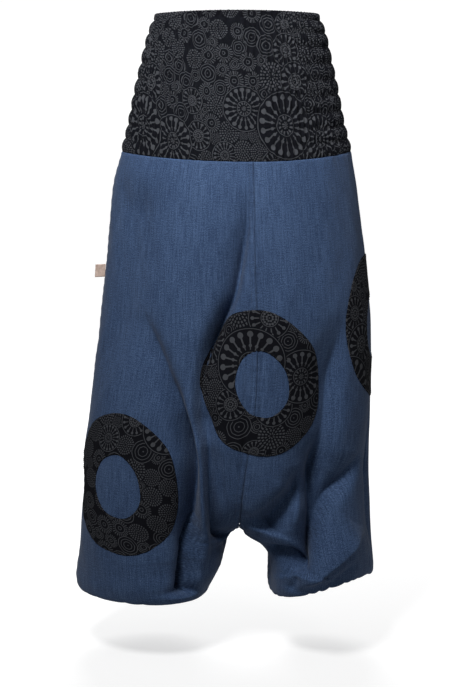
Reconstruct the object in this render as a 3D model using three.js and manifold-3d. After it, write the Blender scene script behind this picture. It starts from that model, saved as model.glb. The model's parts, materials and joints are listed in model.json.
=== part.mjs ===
// Low-crotch harem trousers as worn: a smocked printed waistband, four denim panels that blouse
// over elastic ankle casings, three ring appliques and a side label.
// Units are millimetres, +Z is up and the front faces -Y. The origin is the centre of the waist
// opening, where the wearer holds the garment up. "Right" is the wearer's right, at -X.
import * as THREE from 'three';
import { mergeVertices } from 'three/addons/utils/BufferGeometryUtils.js';
import Module from 'manifold-3d';

const wasm = await Module();
wasm.setup();
const { lerp, clamp, smoothstep, degToRad } = THREE.MathUtils;

// Driving dimensions
const SEAM_GAP = 0.3;        // between two pieces at a seam
const DENIM_WALL = 1.6;
const BAND_WALL = 2.4;       // from the plain inside to the mean outer face
const APPLIQUE_WALL = 1.0;
const SIDE_Y = 8;            // the front and back half of a section meet here
const SIDE_SEAM = { right: 0.98, left: 0.88 }; // places of the side seams, 0 front centre, 1 side
const PUFF_ROWS = 10;        // puffs between the elastic rows of the waistband
const BAND_GATHERS = 46;     // across the front, and as many across the back
const PUFF_OUT = 1.4;        // crest of a gather
const PUFF_IN = 1.0;         // valley of a gather
const SLACK_CENTRE = 0.45;   // share of the gathers that is left at the stretched centre front
const SLACK_WIDTH = 75;      // half-width of that stretched part
const HEM_GATHERS = { front: 11, back: 6 };    // on each panel where it turns in to the ankle
const ANKLES = { right: { x: -132, y: 14, z: -911 }, left: { x: 134, y: 14, z: -900 } };
const ANKLE_RADIUS = 42;
const CASING = { height: 22, wall: 3, ribs: 16, rib: 1.2, edge: 4 };
const LABEL = { seamZ: -418, height: 21, reach: 17, ribbon: 0.7, gap: 0.6 };

// Names the columns of a short table.
const table = (columns, rows) =>
  rows.map((row) => Object.fromEntries(columns.map((name, i) => [name, row[i]])));

// Sections from the waist opening to the rim, where the legs turn in. zFront, zBack and zSide are
// heights at the front centre, back centre and sides; right and left are the widest points; seamR
// and seamL are the centre seam and, below the crotch, the inseams; front and back are depths from
// SIDE_Y. under is the angle in degrees by which the centre seam has curved under the crotch, which
// lies at 90. away and rise say how far a section's curve leaves that seam sideways and outwards,
// and full how squarely it comes round to the side, as shares of its width and depth. lift raises
// the side of the left leg.
const SECTIONS = table(
  ['zFront', 'zBack', 'zSide', 'right', 'left', 'seamR', 'seamL', 'front', 'back',
    'under', 'away', 'rise', 'full', 'lift'],
  [
    [0, 0, -3, -129, 130, 0, 0, 100, 96, 0, 0.6, 0, 0.59, 0],
    [-33, -32, -34, -142, 143, 5, 5, 104, 100, 0, 0.6, 0, 0.59, 0],
    [-85, -82, -81, -154, 154, 10, 10, 112, 107, 0, 0.6, 0, 0.59, 0],
    [-138, -133, -131, -166, 165, 15, 15, 120, 115, 0, 0.6, 0, 0.59, 0],
    [-189, -183, -180, -176, 175, 21, 21, 126, 122, 0, 0.6, 0, 0.59, 0],
    [-235, -228, -223, -187, 186, 26, 26, 131, 128, 0, 0.6, 0, 0.59, 0],
    [-275, -273, -270, -200, 194, 27, 27, 138, 139, 0, 0.6, 0, 0.59, 0],
    [-335, -335, -335, -207, 203, 28, 28, 145, 148, 0, 0.6, 0, 0.59, 0],
    [-400, -400, -400, -213, 212, 29, 29, 151, 153, 0, 0.6, 0, 0.59, 0],
    [-467, -467, -467, -221, 219, 32, 32, 156, 153, 0, 0.6, 0, 0.59, 0],
    [-533, -533, -533, -229, 222, 33, 33, 158, 151, 0, 0.6, 0, 0.59, 0],
    [-600, -600, -600, -239, 222, 31, 31, 158, 149, 0, 0.6, 0, 0.62, 0],
    [-663, -663, -663, -248, 221, 24, 24, 157, 146, 0, 0.6, 0, 0.67, 0],
    [-718, -718, -718, -256, 220, 15, 15, 153, 143, 11, 0.6, 0.08, 0.66, 0],
    [-767, -765, -765, -262, 220, 9, 9, 149, 140, 23, 0.56, 0.2, 0.7, 0],
    [-808, -806, -802, -265, 222, 6, 6, 145, 137, 39, 0.5, 0.47, 0.75, 0],
    [-835, -834, -832, -265, 224, 4, 4, 148, 141, 60, 0.31, 0.79, 0.89, 0],
    [-848, -848, -853, -265, 225, 4, 4, 152, 145, 90, 0.1, 1.39, 1, 0],
    [-864, -864, -873, -265, 226, -13, 28, 149, 143, 120, 0.09, 1.5, 0.91, 3],
    [-884, -884, -892, -266, 227, -19, 50, 149, 143, 150, 0, 1.52, 0.91, 7],
    [-906, -906, -911, -268, 228, -25, 53, 146, 140, 150, 0, 1.6, 0.88, 11],
    [-927, -927, -929, -269, 229, -35, 53, 141, 136, 150, 0, 1.6, 0.88, 15],
    [-945, -943, -944, -268, 229, -45, 54, 134, 131, 150, 0, 1.6, 0.88, 19],
  ],
);
const SEAM_ROW = 5;          // the waist seam
const CROTCH_ROW = 17;
const RIM_ROW = SECTIONS.length - 1;

// From the rim the cloth rolls under and runs in to the ankle. inward and up are shares of the
// way to the casing, drop is how far the roll hangs and gather the height of the hem's gathers.
const TURN_IN = table(['inward', 'up', 'drop', 'gather'], [
  [0, 0, 0, 0],
  [0.04, 0, 6, 0],
  [0.14, 0.02, 8, 0.6],
  [0.35, 0.18, 4, 2],
  [0.7, 0.6, 0, 3.5],
  [1, 1, 0, 2],
]);
const END_ROW = RIM_ROW + TURN_IN.length - 1;

// Stretches of sections and the steps that a panel takes over each.
const PANEL_STEPS = table(['from', 'to', 'steps'], [
  [SEAM_ROW, 11, 10],
  [11, 13, 5],
  [13, CROTCH_ROW, 7],
  [CROTCH_ROW, RIM_ROW, 4],
  [RIM_ROW, END_ROW, 4],
]);

// Columns stand closer where the deep folds are. A share of the columns, counted from the front
// or back centre, covers a share of the way from there to the side seam.
const COLUMN_SHARES = {
  front_right: table(['columns', 'way'], [[0, 0], [0.14, 0.12], [0.59, 0.4], [1, 1]]),
  front_left: table(['columns', 'way'], [[0, 0], [0.64, 0.6], [1, 1]]),
  back_right: table(['columns', 'way'], [[0, 0], [0.5, 0.4], [1, 1]]),
  back_left: table(['columns', 'way'], [[0, 0], [0.5, 0.4], [1, 1]]),
};

// Folds, each a crest (+) or trough (-) that runs down through three points (h, z), where h is x
// on the front and back, and y on the right and left. low and high are its half-widths towards
// lower and higher h, top and foot the shares of its length over which it fades, and edge is 2 for
// a round fold and less for a sharper crease.
const FOLDS = table(
  ['face', 'h0', 'z0', 'h1', 'z1', 'h2', 'z2', 'low', 'high', 'depth', 'top', 'foot', 'edge'],
  [
    ['front', 21, -258, 12, -365, -14, -480, 34, 10, -12, 0.6, 0.2, 1.6],
    ['front', -8, -440, -48, -540, -57, -690, 12, 36, -24, 0.35, 0.2, 1.7],
    ['front', -57, -620, -54, -770, -18, -854, 12, 26, -27, 0.3, 0.1, 1.7],
    ['front', -158, -455, -118, -555, -94, -640, 24, 14, -9, 0.5, 0.3, 1.7],
    ['front', -106, -590, -84, -760, -71, -945, 18, 12, -26, 0.3, 0.1, 1.7],
    ['front', 105, -715, 76, -780, 34, -832, 20, 26, -20, 0.35, 0.2, 1.7],
    ['front', 128, -680, 122, -800, 97, -899, 13, 16, -26, 0.35, 0.1, 1.7],
    ['front', 178, -730, 138, -812, 101, -893, 20, 9, -9, 0.4, 0.2, 1.6],
    ['front', 214, -833, 163, -878, 98, -928, 32, 12, 12, 0.3, 0.3, 1.7],
    ['front', 165, -460, 141, -600, 128, -700, 20, 14, -10, 0.4, 0.4, 1.7],
    ['front', -150, -248, -172, -400, -204, -600, 24, 14, -9, 0.2, 0.5, 1.7],
    ['front', -140, -800, -130, -860, -118, -930, 26, 22, -7, 0.4, 0.3, 1.7],
    ['back', -40, -390, -66, -600, -84, -900, 26, 14, -22, 0.4, 0.2, 1.7],
    ['back', 26, -262, 38, -480, 60, -700, 14, 30, -13, 0.5, 0.4, 1.7],
    ['back', 92, -470, 104, -680, 98, -920, 14, 26, -22, 0.4, 0.2, 1.7],
    ['back', -150, -500, -158, -700, -150, -915, 24, 14, -15, 0.4, 0.3, 1.7],
    ['back', -110, -690, -62, -775, -6, -826, 24, 14, -15, 0.4, 0.3, 1.7],
    ['back', 128, -700, 80, -790, 30, -838, 14, 26, -13, 0.4, 0.3, 1.7],
    ['back', 170, -560, 168, -740, 160, -910, 14, 24, -13, 0.4, 0.3, 1.7],
    ['back', -214, -850, -168, -884, -112, -926, 12, 30, 11, 0.3, 0.3, 1.7],
    ['right', 30, -520, 26, -700, 12, -910, 28, 16, -10, 0.4, 0.3, 1.7],
    ['right', -30, -700, -20, -820, -2, -930, 14, 22, -8, 0.4, 0.3, 1.7],
    ['left', 44, -560, 40, -720, 30, -890, 16, 28, -11, 0.4, 0.3, 1.7],
    ['left', -34, -640, -26, -780, -10, -910, 22, 14, -8, 0.4, 0.3, 1.7],
  ],
);
const FACES = {
  front: { across: 'x', way: new THREE.Vector3(0, -1, 0) },
  back: { across: 'x', way: new THREE.Vector3(0, 1, 0) },
  right: { across: 'y', way: new THREE.Vector3(-1, 0, 0) },
  left: { across: 'y', way: new THREE.Vector3(1, 0, 0) },
};

// Applique rings of the waistband's cloth, a little taller than wide. half, around and row place
// the centre. lean moves the cloth across for each unit down, and bow is how far both ends of the
// ring lie across from its middle. The panels under a ring are named in the order in which they
// follow one another.
const RINGS = table(
  ['name', 'half', 'around', 'row', 'wide', 'tall', 'holeWide', 'holeTall', 'lean', 'bow',
    'under'],
  [
    ['applique_front', 'left', 0.025, 10.76, 105, 118, 43, 53, 0.13, 0, ['front_right', 'front_left']],
    ['applique_right', 'right', 0.555, 13.95, 108, 118, 44, 52, 0.05, 15, ['front_right', 'back_right']],
    ['applique_left', 'left', 0.95, 9.6, 108, 118, 46, 53, 0.05, 0, ['front_left', 'back_left']],
  ],
);
const RING = { points: 30, bands: 3, steps: 24, above: 35, below: 55 };

// Smooth curve through a column of a table with no overshoot: its slope at a row is the harmonic
// mean of the steps on its two sides.
function column(rows, name, at) {
  const last = rows.length - 1;
  const i = clamp(Math.floor(at), 0, last - 1);
  const s = at - i;
  const value = (k) => rows[clamp(k, 0, last)][name];
  const slope = (k) => {
    const a = value(k) - value(k - 1);
    const b = value(k + 1) - value(k);
    return a * b > 0 ? (2 * a * b) / (a + b) : 0;
  };
  const bend = slope(i) * s * (1 - s) ** 2 - slope(i + 1) * s * s * (1 - s);
  return lerp(value(i), value(i + 1), s * s * (3 - 2 * s)) + bend;
}

// Half a section is a cubic Bezier curve from the centre seam or inseam to the side. u is 0 at
// that seam and 1 at the side, and facing is -1 on the front and 1 on the back.
function sectionPoint(half, facing, u, row) {
  const isFront = facing < 0;
  const get = (name) => column(SECTIONS, name, row);
  const depth = get(isFront ? 'front' : 'back');
  const lift = half === 'left' ? get('lift') : 0;
  const beside = Math.max(Math.cos(degToRad(get('under'))), 0);
  const seam = new THREE.Vector3(get(half === 'left' ? 'seamL' : 'seamR'),
    SIDE_Y + facing * depth * beside, get(isFront ? 'zFront' : 'zBack'));
  const side = new THREE.Vector3(get(half), SIDE_Y, get('zSide') + lift);
  const nearSeam = seam.clone();
  nearSeam.x += get('away') * (side.x - seam.x);
  nearSeam.y += facing * get('rise') * depth;
  const nearSide = side.clone();
  nearSide.y += facing * get('full') * depth;
  nearSide.z += isFront ? 2 * lift : 0;
  return new THREE.CubicBezierCurve3(seam, nearSeam, nearSide, side).getPoint(u);
}

// A point of the smooth garment. around runs from 0 at the front centre over 1 at the side to 2
// at the back centre, and past either end on to the other half or, on a leg, round the inseam.
function smoothPoint(half, around, row) {
  if (around < 0 || around > 2) {
    if (row > CROTCH_ROW) return smoothPoint(half, around < 0 ? around + 2 : around - 2, row);
    const other = half === 'left' ? 'right' : 'left';
    return smoothPoint(other, around < 0 ? -around : 4 - around, row);
  }
  const facing = around <= 1 ? -1 : 1;
  const u = around <= 1 ? around : 2 - around;
  const p = sectionPoint(half, facing, u, Math.min(row, RIM_ROW));
  if (row <= RIM_ROW) return p;
  const inside = (name) => column(TURN_IN, name, row - RIM_ROW);
  const ankle = ANKLES[half];
  const sign = half === 'left' ? 1 : -1;
  const radius = ANKLE_RADIUS + SEAM_GAP;
  return new THREE.Vector3(
    lerp(p.x, ankle.x - sign * radius * Math.cos(Math.PI * u), inside('inward')),
    lerp(p.y, ankle.y + facing * radius * Math.sin(Math.PI * u), inside('inward')),
    lerp(p.z, ankle.z, inside('up')) - inside('drop'),
  );
}

// The outward normal of a surface given by half, around and row, from small steps along it. Under
// the crotch, where the four panels meet, it is straight down.
function normalOf(surface, half, around, row) {
  if (row === CROTCH_ROW && Math.min(around, 2 - around) < 0.01) return new THREE.Vector3(0, 0, -1);
  const STEP = 0.01;
  const across = surface(half, around + STEP, row).sub(surface(half, around - STEP, row));
  const down = surface(half, around, Math.min(row + STEP, END_ROW))
    .sub(surface(half, around, Math.max(row - STEP, 0)));
  const n = across.cross(down).normalize();
  return half === 'left' ? n.negate() : n;
}

// How far the folds move the cloth outwards at a point with that normal.
function foldOffset(p, normal) {
  let offset = 0;
  for (const f of FOLDS) {
    const { across, way } = FACES[f.face];
    const facing = smoothstep(normal.dot(way), 0.1, 0.6);
    if (facing === 0 || p.z > f.z0 || p.z < f.z2) continue;
    const path = new THREE.Vector3(
      ((p.z - f.z1) * (p.z - f.z2)) / ((f.z0 - f.z1) * (f.z0 - f.z2)),
      ((p.z - f.z0) * (p.z - f.z2)) / ((f.z1 - f.z0) * (f.z1 - f.z2)),
      ((p.z - f.z0) * (p.z - f.z1)) / ((f.z2 - f.z0) * (f.z2 - f.z1)),
    );
    const h = path.dot(new THREE.Vector3(f.h0, f.h1, f.h2));
    const lean = Math.hypot(1, (f.h2 - f.h0) / (f.z2 - f.z0));
    const distance = (p[across] - h) / lean;
    const width = distance < 0 ? f.low : f.high;
    const along = (f.z0 - p.z) / (f.z0 - f.z2);
    const fade = smoothstep(along, 0, f.top) * smoothstep(1 - along, 0, f.foot);
    offset += f.depth * fade * facing * Math.exp(-(Math.abs(distance / width) ** f.edge));
  }
  return offset;
}

// The same normal turned level.
const levelNormalOf = (...place) => normalOf(...place).setZ(0).normalize();

// A point of the folded garment, without the gathers of the hem. Folds move the cloth level, and
// they end at the rim.
function foldedPoint(half, around, row) {
  const p = smoothPoint(half, around, row);
  if (row > RIM_ROW + 1) return p;
  const n = levelNormalOf(smoothPoint, half, around, row);
  return p.addScaledVector(n, foldOffset(p, n));
}

// Place of a point that is a share s of the way from the front or back centre to the side seam,
// less half a seam gap at either end.
function placeAcross(half, face, s, row) {
  const seam = SIDE_SEAM[half];
  const around = face === 'front' ? seam * s : 2 - (2 - seam) * s;
  if (s > 0 && s < 1) return around;
  const STEP = 0.02 * (s === 0 ? 1 : -1) * (face === 'front' ? 1 : -1);
  const length = foldedPoint(half, around, row).distanceTo(foldedPoint(half, around + STEP, row));
  return around + (STEP * SEAM_GAP) / 2 / length;
}

// Triangles between two runs of numbered vertices, across the shorter diagonals. The diagonals are
// chosen on base, where a vertex first was, so that layers of one sheet share them.
function zip(upper, lower) {
  const faces = [];
  let [i, j] = [0, 0];
  while (i < upper.length - 1 || j < lower.length - 1) {
    const isUpper = j === lower.length - 1 || (i < upper.length - 1
      && upper[i + 1].base.distanceTo(lower[j].base) < upper[i].base.distanceTo(lower[j + 1].base));
    if (isUpper) {
      faces.push([upper[i].id, lower[j].id, upper[i + 1].id]);
      i += 1;
    } else {
      faces.push([upper[i].id, lower[j].id, lower[j + 1].id]);
      j += 1;
    }
  }
  return faces;
}

// A geometry from points and triangles, turned so that it faces outwards.
function solidOf(points, faces) {
  const volume = faces.reduce((sum, [a, b, c]) =>
    sum + points[a].dot(points[b].clone().cross(points[c])), 0);
  const geometry = new THREE.BufferGeometry().setFromPoints(points);
  geometry.setIndex(faces.flatMap(([a, b, c]) => (volume < 0 ? [a, c, b] : [a, b, c])));
  return mergeVertices(geometry, 1e-5);
}

// A closed wall between an outer and an inner sheet. A sheet is a list of rows, each a list of
// points { p, n, base } from one edge to the other. In a ring the two ends of a row are one.
function wall(outer, inner, isRing = false) {
  const points = [];
  const numbered = (sheet) => sheet.map((row) =>
    row.map(({ p, base }) => ({ base, id: points.push(p) - 1 })));
  const skin = (sheet) => sheet.slice(1).flatMap((row, j) => zip(sheet[j], row));
  const flip = (faces) => faces.map(([a, b, c]) => [a, c, b]);
  const edge = (sheet, end) => sheet.map((row) => row.at(end));
  const [out, inn] = [numbered(outer), numbered(inner)];
  const faces = [...skin(out), ...flip(skin(inn)), ...zip(inn[0], out[0]),
    ...zip(out.at(-1), inn.at(-1))];
  if (!isRing) faces.push(...zip(edge(out, 0), edge(inn, 0)), ...zip(edge(inn, -1), edge(out, -1)));
  return solidOf(points, faces);
}

// The same sheet moved along its normals.
const moved = (sheet, distance) => sheet.map((row) =>
  row.map((v) => ({ ...v, p: v.p.clone().addScaledVector(v.n, distance) })));

// The waistband: crests of the gathers stand on the puff rows, and on the elastic rows the
// valleys stand between them, so that the sheet is drawn in both ways as smocking is.
function bandPoint(face, s, row, puff) {
  const half = s < 0 ? 'right' : 'left';
  const around = placeAcross(half, face, Math.abs(s), row);
  const n = normalOf(smoothPoint, half, around, row);
  const p = smoothPoint(half, around, row);
  const stretched = Math.exp(-((p.x / SLACK_WIDTH) ** 2)) * (face === 'front' ? 1 : 0);
  p.addScaledVector(n, puff * lerp(1, SLACK_CENTRE, stretched));
  if (row === SEAM_ROW) p.z += SEAM_GAP / 2;
  return { p, n, base: p };
}

function waistband(face) {
  const rows = Array.from({ length: 2 * PUFF_ROWS + 1 }, (_, j) => j);
  const outer = rows.map((j) => {
    const isElastic = j % 2 === 0;
    const count = isElastic ? BAND_GATHERS - 1 : BAND_GATHERS;
    const shift = isElastic ? 0.5 : 0;
    const inner = Array.from({ length: count + 1 }, (_, i) => (2 * (i + shift)) / BAND_GATHERS - 1);
    const places = isElastic ? [-1, ...inner, 1] : inner;
    const puff = isElastic ? -PUFF_IN : PUFF_OUT;
    return places.map((s) => bandPoint(face, s, (j / (2 * PUFF_ROWS)) * SEAM_ROW, puff));
  });
  const inside = Array.from({ length: SEAM_ROW + 1 }, (_, row) =>
    Array.from({ length: 17 }, (_unused, i) => bandPoint(face, i / 8 - 1, row, 0)));
  return wall(outer, moved(inside, -BAND_WALL));
}

// The four denim panels, each from the waist seam to the ankle casing.
const panelRows = [SEAM_ROW, ...PANEL_STEPS.flatMap(({ from, to, steps }) =>
  Array.from({ length: steps }, (_, i) => lerp(from, to, (i + 1) / steps)))];

function panelSheet(half, face) {
  const count = 2 * HEM_GATHERS[face];
  const shares = COLUMN_SHARES[`${face}_${half}`];
  return panelRows.map((row) => Array.from({ length: count + 1 }, (_, i) => {
    const next = Math.max(shares.findIndex(({ columns }) => columns >= i / count), 1);
    const [from, to] = [shares[next - 1], shares[next]];
    const way = lerp(from.way, to.way, (i / count - from.columns) / (to.columns - from.columns));
    const around = placeAcross(half, face, way, row);
    const n = normalOf(foldedPoint, half, around, row);
    const p = foldedPoint(half, around, row);
    if (row === SEAM_ROW) p.z -= SEAM_GAP / 2;
    if (row > RIM_ROW && i % 2) p.addScaledVector(n, -column(TURN_IN, 'gather', row - RIM_ROW));
    return { p, n, base: p };
  }));
}

const sheets = Object.fromEntries(['right', 'left'].flatMap((half) =>
  ['front', 'back'].map((face) => [`${face}_${half}`, panelSheet(half, face)])));

// The manifold of a geometry and back.
function manifoldOf(geometry) {
  const { position } = geometry.attributes;
  const vertProperties = new Float32Array(position.array);
  const triVerts = new Uint32Array(geometry.index.array);
  return new wasm.Manifold(new wasm.Mesh({ numProp: 3, vertProperties, triVerts }));
}

function geometryOf(manifold) {
  const { vertProperties, triVerts } = manifold.getMesh();
  const geometry = new THREE.BufferGeometry();
  geometry.setAttribute('position', new THREE.BufferAttribute(vertProperties, 3));
  geometry.setIndex([...triVerts]);
  return geometry;
}

// Where a flat piece's point lies on the cloth: from the ring's centre down the column for the
// flat distance down, then along the section for the flat distance across.
function laidOut(ring, across, down) {
  const STEP = 0.01;
  let { around, row } = ring;
  for (let i = 0; i < RING.steps; i += 1) {
    const length = foldedPoint(ring.half, around, row + STEP)
      .distanceTo(foldedPoint(ring.half, around, row - STEP));
    row += ((down / RING.steps) * 2 * STEP) / length;
  }
  for (let i = 0; i < RING.steps; i += 1) {
    const length = foldedPoint(ring.half, around + STEP, row)
      .distanceTo(foldedPoint(ring.half, around - STEP, row));
    around += ((across / RING.steps) * 2 * STEP) / length;
  }
  return { around, row };
}

// A ring is a layer over the two panels under it, made of their own points moved out, cut by a
// thick ring that stands on the smooth garment.
function applique(ring) {
  const outline = (wide, tall) => Array.from({ length: RING.points + 1 }, (_, i) => {
    const angle = (2 * Math.PI * i) / RING.points;
    const down = tall * Math.sin(angle);
    const across = wide * Math.cos(angle) + ring.lean * down + ring.bow * (down / ring.tall) ** 2;
    return laidOut(ring, across, down);
  });
  const [hole, outer] = [outline(ring.holeWide, ring.holeTall), outline(ring.wide, ring.tall)];
  const cutter = Array.from({ length: RING.bands + 1 }, (_, j) => hole.map((from, i) => {
    const around = lerp(from.around, outer[i].around, j / RING.bands);
    const row = lerp(from.row, outer[i].row, j / RING.bands);
    const p = smoothPoint(ring.half, around, row);
    return { p, n: levelNormalOf(smoothPoint, ring.half, around, row), base: p };
  }));
  const [first, second] = ring.under.map((name) => sheets[name]);
  const isFront = ring.name === 'applique_front';
  const carrier = first.map((row, j) => {
    return isFront ? [...[...row].reverse(), ...second[j]]
      : [...row, ...[...second[j]].reverse()];
  });
  const layer = wall(moved(carrier, SEAM_GAP + APPLIQUE_WALL), moved(carrier, SEAM_GAP));
  const ringCutter = wall(moved(cutter, RING.above), moved(cutter, -RING.below), true);
  return geometryOf(manifoldOf(layer).intersect(manifoldOf(ringCutter)).simplify(0.08));
}

// An elastic ankle casing: a short ribbed tube with a plain inside.
function casing(half) {
  const { x, y, z } = ANKLES[half];
  const ringAt = (count, height, radiusOf) => Array.from({ length: count + 1 }, (_, i) => {
    const angle = (2 * Math.PI * i) / count;
    const radius = radiusOf(i);
    const p = new THREE.Vector3(x + radius * Math.cos(angle), y + radius * Math.sin(angle),
      z - height);
    return { p, base: p };
  });
  const ribbed = (height, pinch) => ringAt(2 * CASING.ribs, height, (i) =>
    ANKLE_RADIUS - pinch - (i % 2 ? CASING.rib : 0));
  const plain = (height) => ringAt(CASING.ribs, height, () => ANKLE_RADIUS - CASING.wall);
  const outer = [ribbed(0, 0.6), ribbed(CASING.edge, 0), ribbed(CASING.height - CASING.edge, 0),
    ribbed(CASING.height, 0.6)];
  return wall(outer, [plain(0), plain(CASING.height)], true);
}

// The label: a ribbon folded double that stands out of the right side seam.
function label() {
  const above = SECTIONS.findLastIndex(({ zSide }) => zSide > LABEL.seamZ);
  const step = SECTIONS[above].zSide - SECTIONS[above + 1].zSide;
  const row = above + (SECTIONS[above].zSide - LABEL.seamZ) / step;
  const seam = foldedPoint('right', SIDE_SEAM.right, row);
  const up = foldedPoint('right', SIDE_SEAM.right, row - LABEL.height / step).sub(seam);
  const half = LABEL.gap / 2 + LABEL.ribbon;
  const round = LABEL.reach - half;
  const shape = new THREE.Shape();
  shape.moveTo(0, -half).lineTo(round, -half);
  shape.absarc(round, 0, half, -Math.PI / 2, Math.PI / 2, false);
  shape.lineTo(0, half).lineTo(0, LABEL.gap / 2).lineTo(round, LABEL.gap / 2);
  shape.absarc(round, 0, LABEL.gap / 2, Math.PI / 2, -Math.PI / 2, true);
  shape.lineTo(0, -LABEL.gap / 2);
  const ribbon = new THREE.ExtrudeGeometry(shape,
    { depth: LABEL.height, bevelEnabled: false, curveSegments: 6 });
  ribbon.deleteAttribute('uv').deleteAttribute('normal');
  ribbon.translate(SEAM_GAP, 0, -LABEL.height / 2);
  ribbon.rotateZ(Math.PI).rotateY(Math.atan2(up.x, up.z));
  ribbon.translate(seam.x, seam.y, seam.z);
  return mergeVertices(ribbon, 1e-4);
}

const pieces = {
  waistband_front: waistband('front'),
  waistband_back: waistband('back'),
  ...Object.fromEntries(Object.entries(sheets).map(([name, sheet]) =>
    [name, wall(sheet, moved(sheet, -DENIM_WALL))])),
  ...Object.fromEntries(RINGS.map((ring) => [ring.name, applique(ring)])),
  casing_right: casing('right'),
  casing_left: casing('left'),
  label: label(),
};

// Printed black cotton for the waistband and the rings, a beige ribbon, and denim for the rest.
const CLOTHS = {
  printed: { color: 0x232428, roughness: 0.9, metalness: 0 },
  ribbon: { color: 0xc4b0a2, roughness: 0.8, metalness: 0 },
  denim: { color: 0x3a5580, roughness: 0.85, metalness: 0 },
};

function clothOf(name) {
  if (name.startsWith('waistband') || name.startsWith('applique')) return CLOTHS.printed;
  return name === 'label' ? CLOTHS.ribbon : CLOTHS.denim;
}

const group = new THREE.Group();
for (const [name, geometry] of Object.entries(pieces)) {
  const mesh = new THREE.Mesh(geometry, new THREE.MeshStandardMaterial(clothOf(name)));
  mesh.name = name;
  group.add(mesh);
}

export default group;
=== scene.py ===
import json
import math

import bpy
import numpy as np
from mathutils import Vector
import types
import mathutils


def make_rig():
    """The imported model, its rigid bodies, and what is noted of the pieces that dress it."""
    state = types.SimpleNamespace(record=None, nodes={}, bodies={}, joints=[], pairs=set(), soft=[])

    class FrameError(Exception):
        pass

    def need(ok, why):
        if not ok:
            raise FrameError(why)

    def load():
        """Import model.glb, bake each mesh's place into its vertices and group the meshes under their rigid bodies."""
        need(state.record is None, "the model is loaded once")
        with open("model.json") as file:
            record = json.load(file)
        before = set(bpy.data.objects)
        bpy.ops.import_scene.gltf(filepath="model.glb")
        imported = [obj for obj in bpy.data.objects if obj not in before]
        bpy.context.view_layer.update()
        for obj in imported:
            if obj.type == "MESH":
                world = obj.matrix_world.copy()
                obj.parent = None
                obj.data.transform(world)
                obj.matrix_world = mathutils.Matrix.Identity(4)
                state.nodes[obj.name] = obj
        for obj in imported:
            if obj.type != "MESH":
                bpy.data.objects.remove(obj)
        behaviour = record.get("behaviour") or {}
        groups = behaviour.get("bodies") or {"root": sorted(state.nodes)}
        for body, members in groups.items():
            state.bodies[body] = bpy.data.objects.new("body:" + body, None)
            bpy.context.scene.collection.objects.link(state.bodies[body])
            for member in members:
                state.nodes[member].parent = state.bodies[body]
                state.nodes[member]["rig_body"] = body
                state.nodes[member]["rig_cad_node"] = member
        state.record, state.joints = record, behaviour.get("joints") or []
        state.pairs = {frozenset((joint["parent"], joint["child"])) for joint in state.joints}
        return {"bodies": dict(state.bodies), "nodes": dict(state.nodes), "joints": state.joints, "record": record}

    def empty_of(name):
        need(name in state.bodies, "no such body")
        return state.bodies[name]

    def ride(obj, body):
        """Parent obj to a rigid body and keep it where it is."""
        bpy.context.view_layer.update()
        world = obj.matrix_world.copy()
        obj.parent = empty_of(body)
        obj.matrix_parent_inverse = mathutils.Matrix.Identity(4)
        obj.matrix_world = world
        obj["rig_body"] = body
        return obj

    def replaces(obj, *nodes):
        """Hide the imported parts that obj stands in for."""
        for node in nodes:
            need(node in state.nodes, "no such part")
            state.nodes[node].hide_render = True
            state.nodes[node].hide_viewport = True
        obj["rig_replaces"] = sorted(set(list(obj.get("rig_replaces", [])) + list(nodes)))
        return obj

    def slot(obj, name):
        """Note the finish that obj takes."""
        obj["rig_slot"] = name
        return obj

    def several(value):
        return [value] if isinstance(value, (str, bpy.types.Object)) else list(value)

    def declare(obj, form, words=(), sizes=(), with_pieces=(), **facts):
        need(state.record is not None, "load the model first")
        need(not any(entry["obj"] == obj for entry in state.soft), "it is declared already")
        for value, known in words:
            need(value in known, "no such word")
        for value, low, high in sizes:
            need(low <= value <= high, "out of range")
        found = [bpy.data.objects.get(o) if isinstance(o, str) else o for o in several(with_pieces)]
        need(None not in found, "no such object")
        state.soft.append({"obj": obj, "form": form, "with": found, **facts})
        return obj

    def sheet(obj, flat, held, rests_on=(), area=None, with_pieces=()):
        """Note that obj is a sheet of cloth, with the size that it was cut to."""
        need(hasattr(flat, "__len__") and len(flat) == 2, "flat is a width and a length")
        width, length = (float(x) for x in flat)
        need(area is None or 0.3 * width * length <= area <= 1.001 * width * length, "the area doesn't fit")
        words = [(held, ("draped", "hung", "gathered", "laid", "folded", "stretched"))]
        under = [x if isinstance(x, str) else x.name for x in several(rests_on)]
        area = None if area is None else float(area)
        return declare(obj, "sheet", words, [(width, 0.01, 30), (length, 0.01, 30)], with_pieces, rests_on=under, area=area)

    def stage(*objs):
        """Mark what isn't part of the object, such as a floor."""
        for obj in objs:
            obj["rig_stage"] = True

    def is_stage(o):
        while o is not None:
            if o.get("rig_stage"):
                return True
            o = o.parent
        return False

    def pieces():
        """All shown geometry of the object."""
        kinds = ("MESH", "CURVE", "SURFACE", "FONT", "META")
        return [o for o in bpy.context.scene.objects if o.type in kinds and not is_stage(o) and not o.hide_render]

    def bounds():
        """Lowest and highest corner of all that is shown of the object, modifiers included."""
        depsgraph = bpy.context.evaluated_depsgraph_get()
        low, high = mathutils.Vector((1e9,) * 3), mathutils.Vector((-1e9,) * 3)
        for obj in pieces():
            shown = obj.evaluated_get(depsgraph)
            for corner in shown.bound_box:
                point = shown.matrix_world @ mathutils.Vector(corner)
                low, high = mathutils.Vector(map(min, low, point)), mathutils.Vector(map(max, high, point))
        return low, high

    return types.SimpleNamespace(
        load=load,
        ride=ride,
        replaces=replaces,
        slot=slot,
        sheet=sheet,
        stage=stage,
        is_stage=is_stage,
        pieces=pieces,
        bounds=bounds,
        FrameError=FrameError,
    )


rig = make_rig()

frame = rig.load()
cad_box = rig.bounds()

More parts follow.
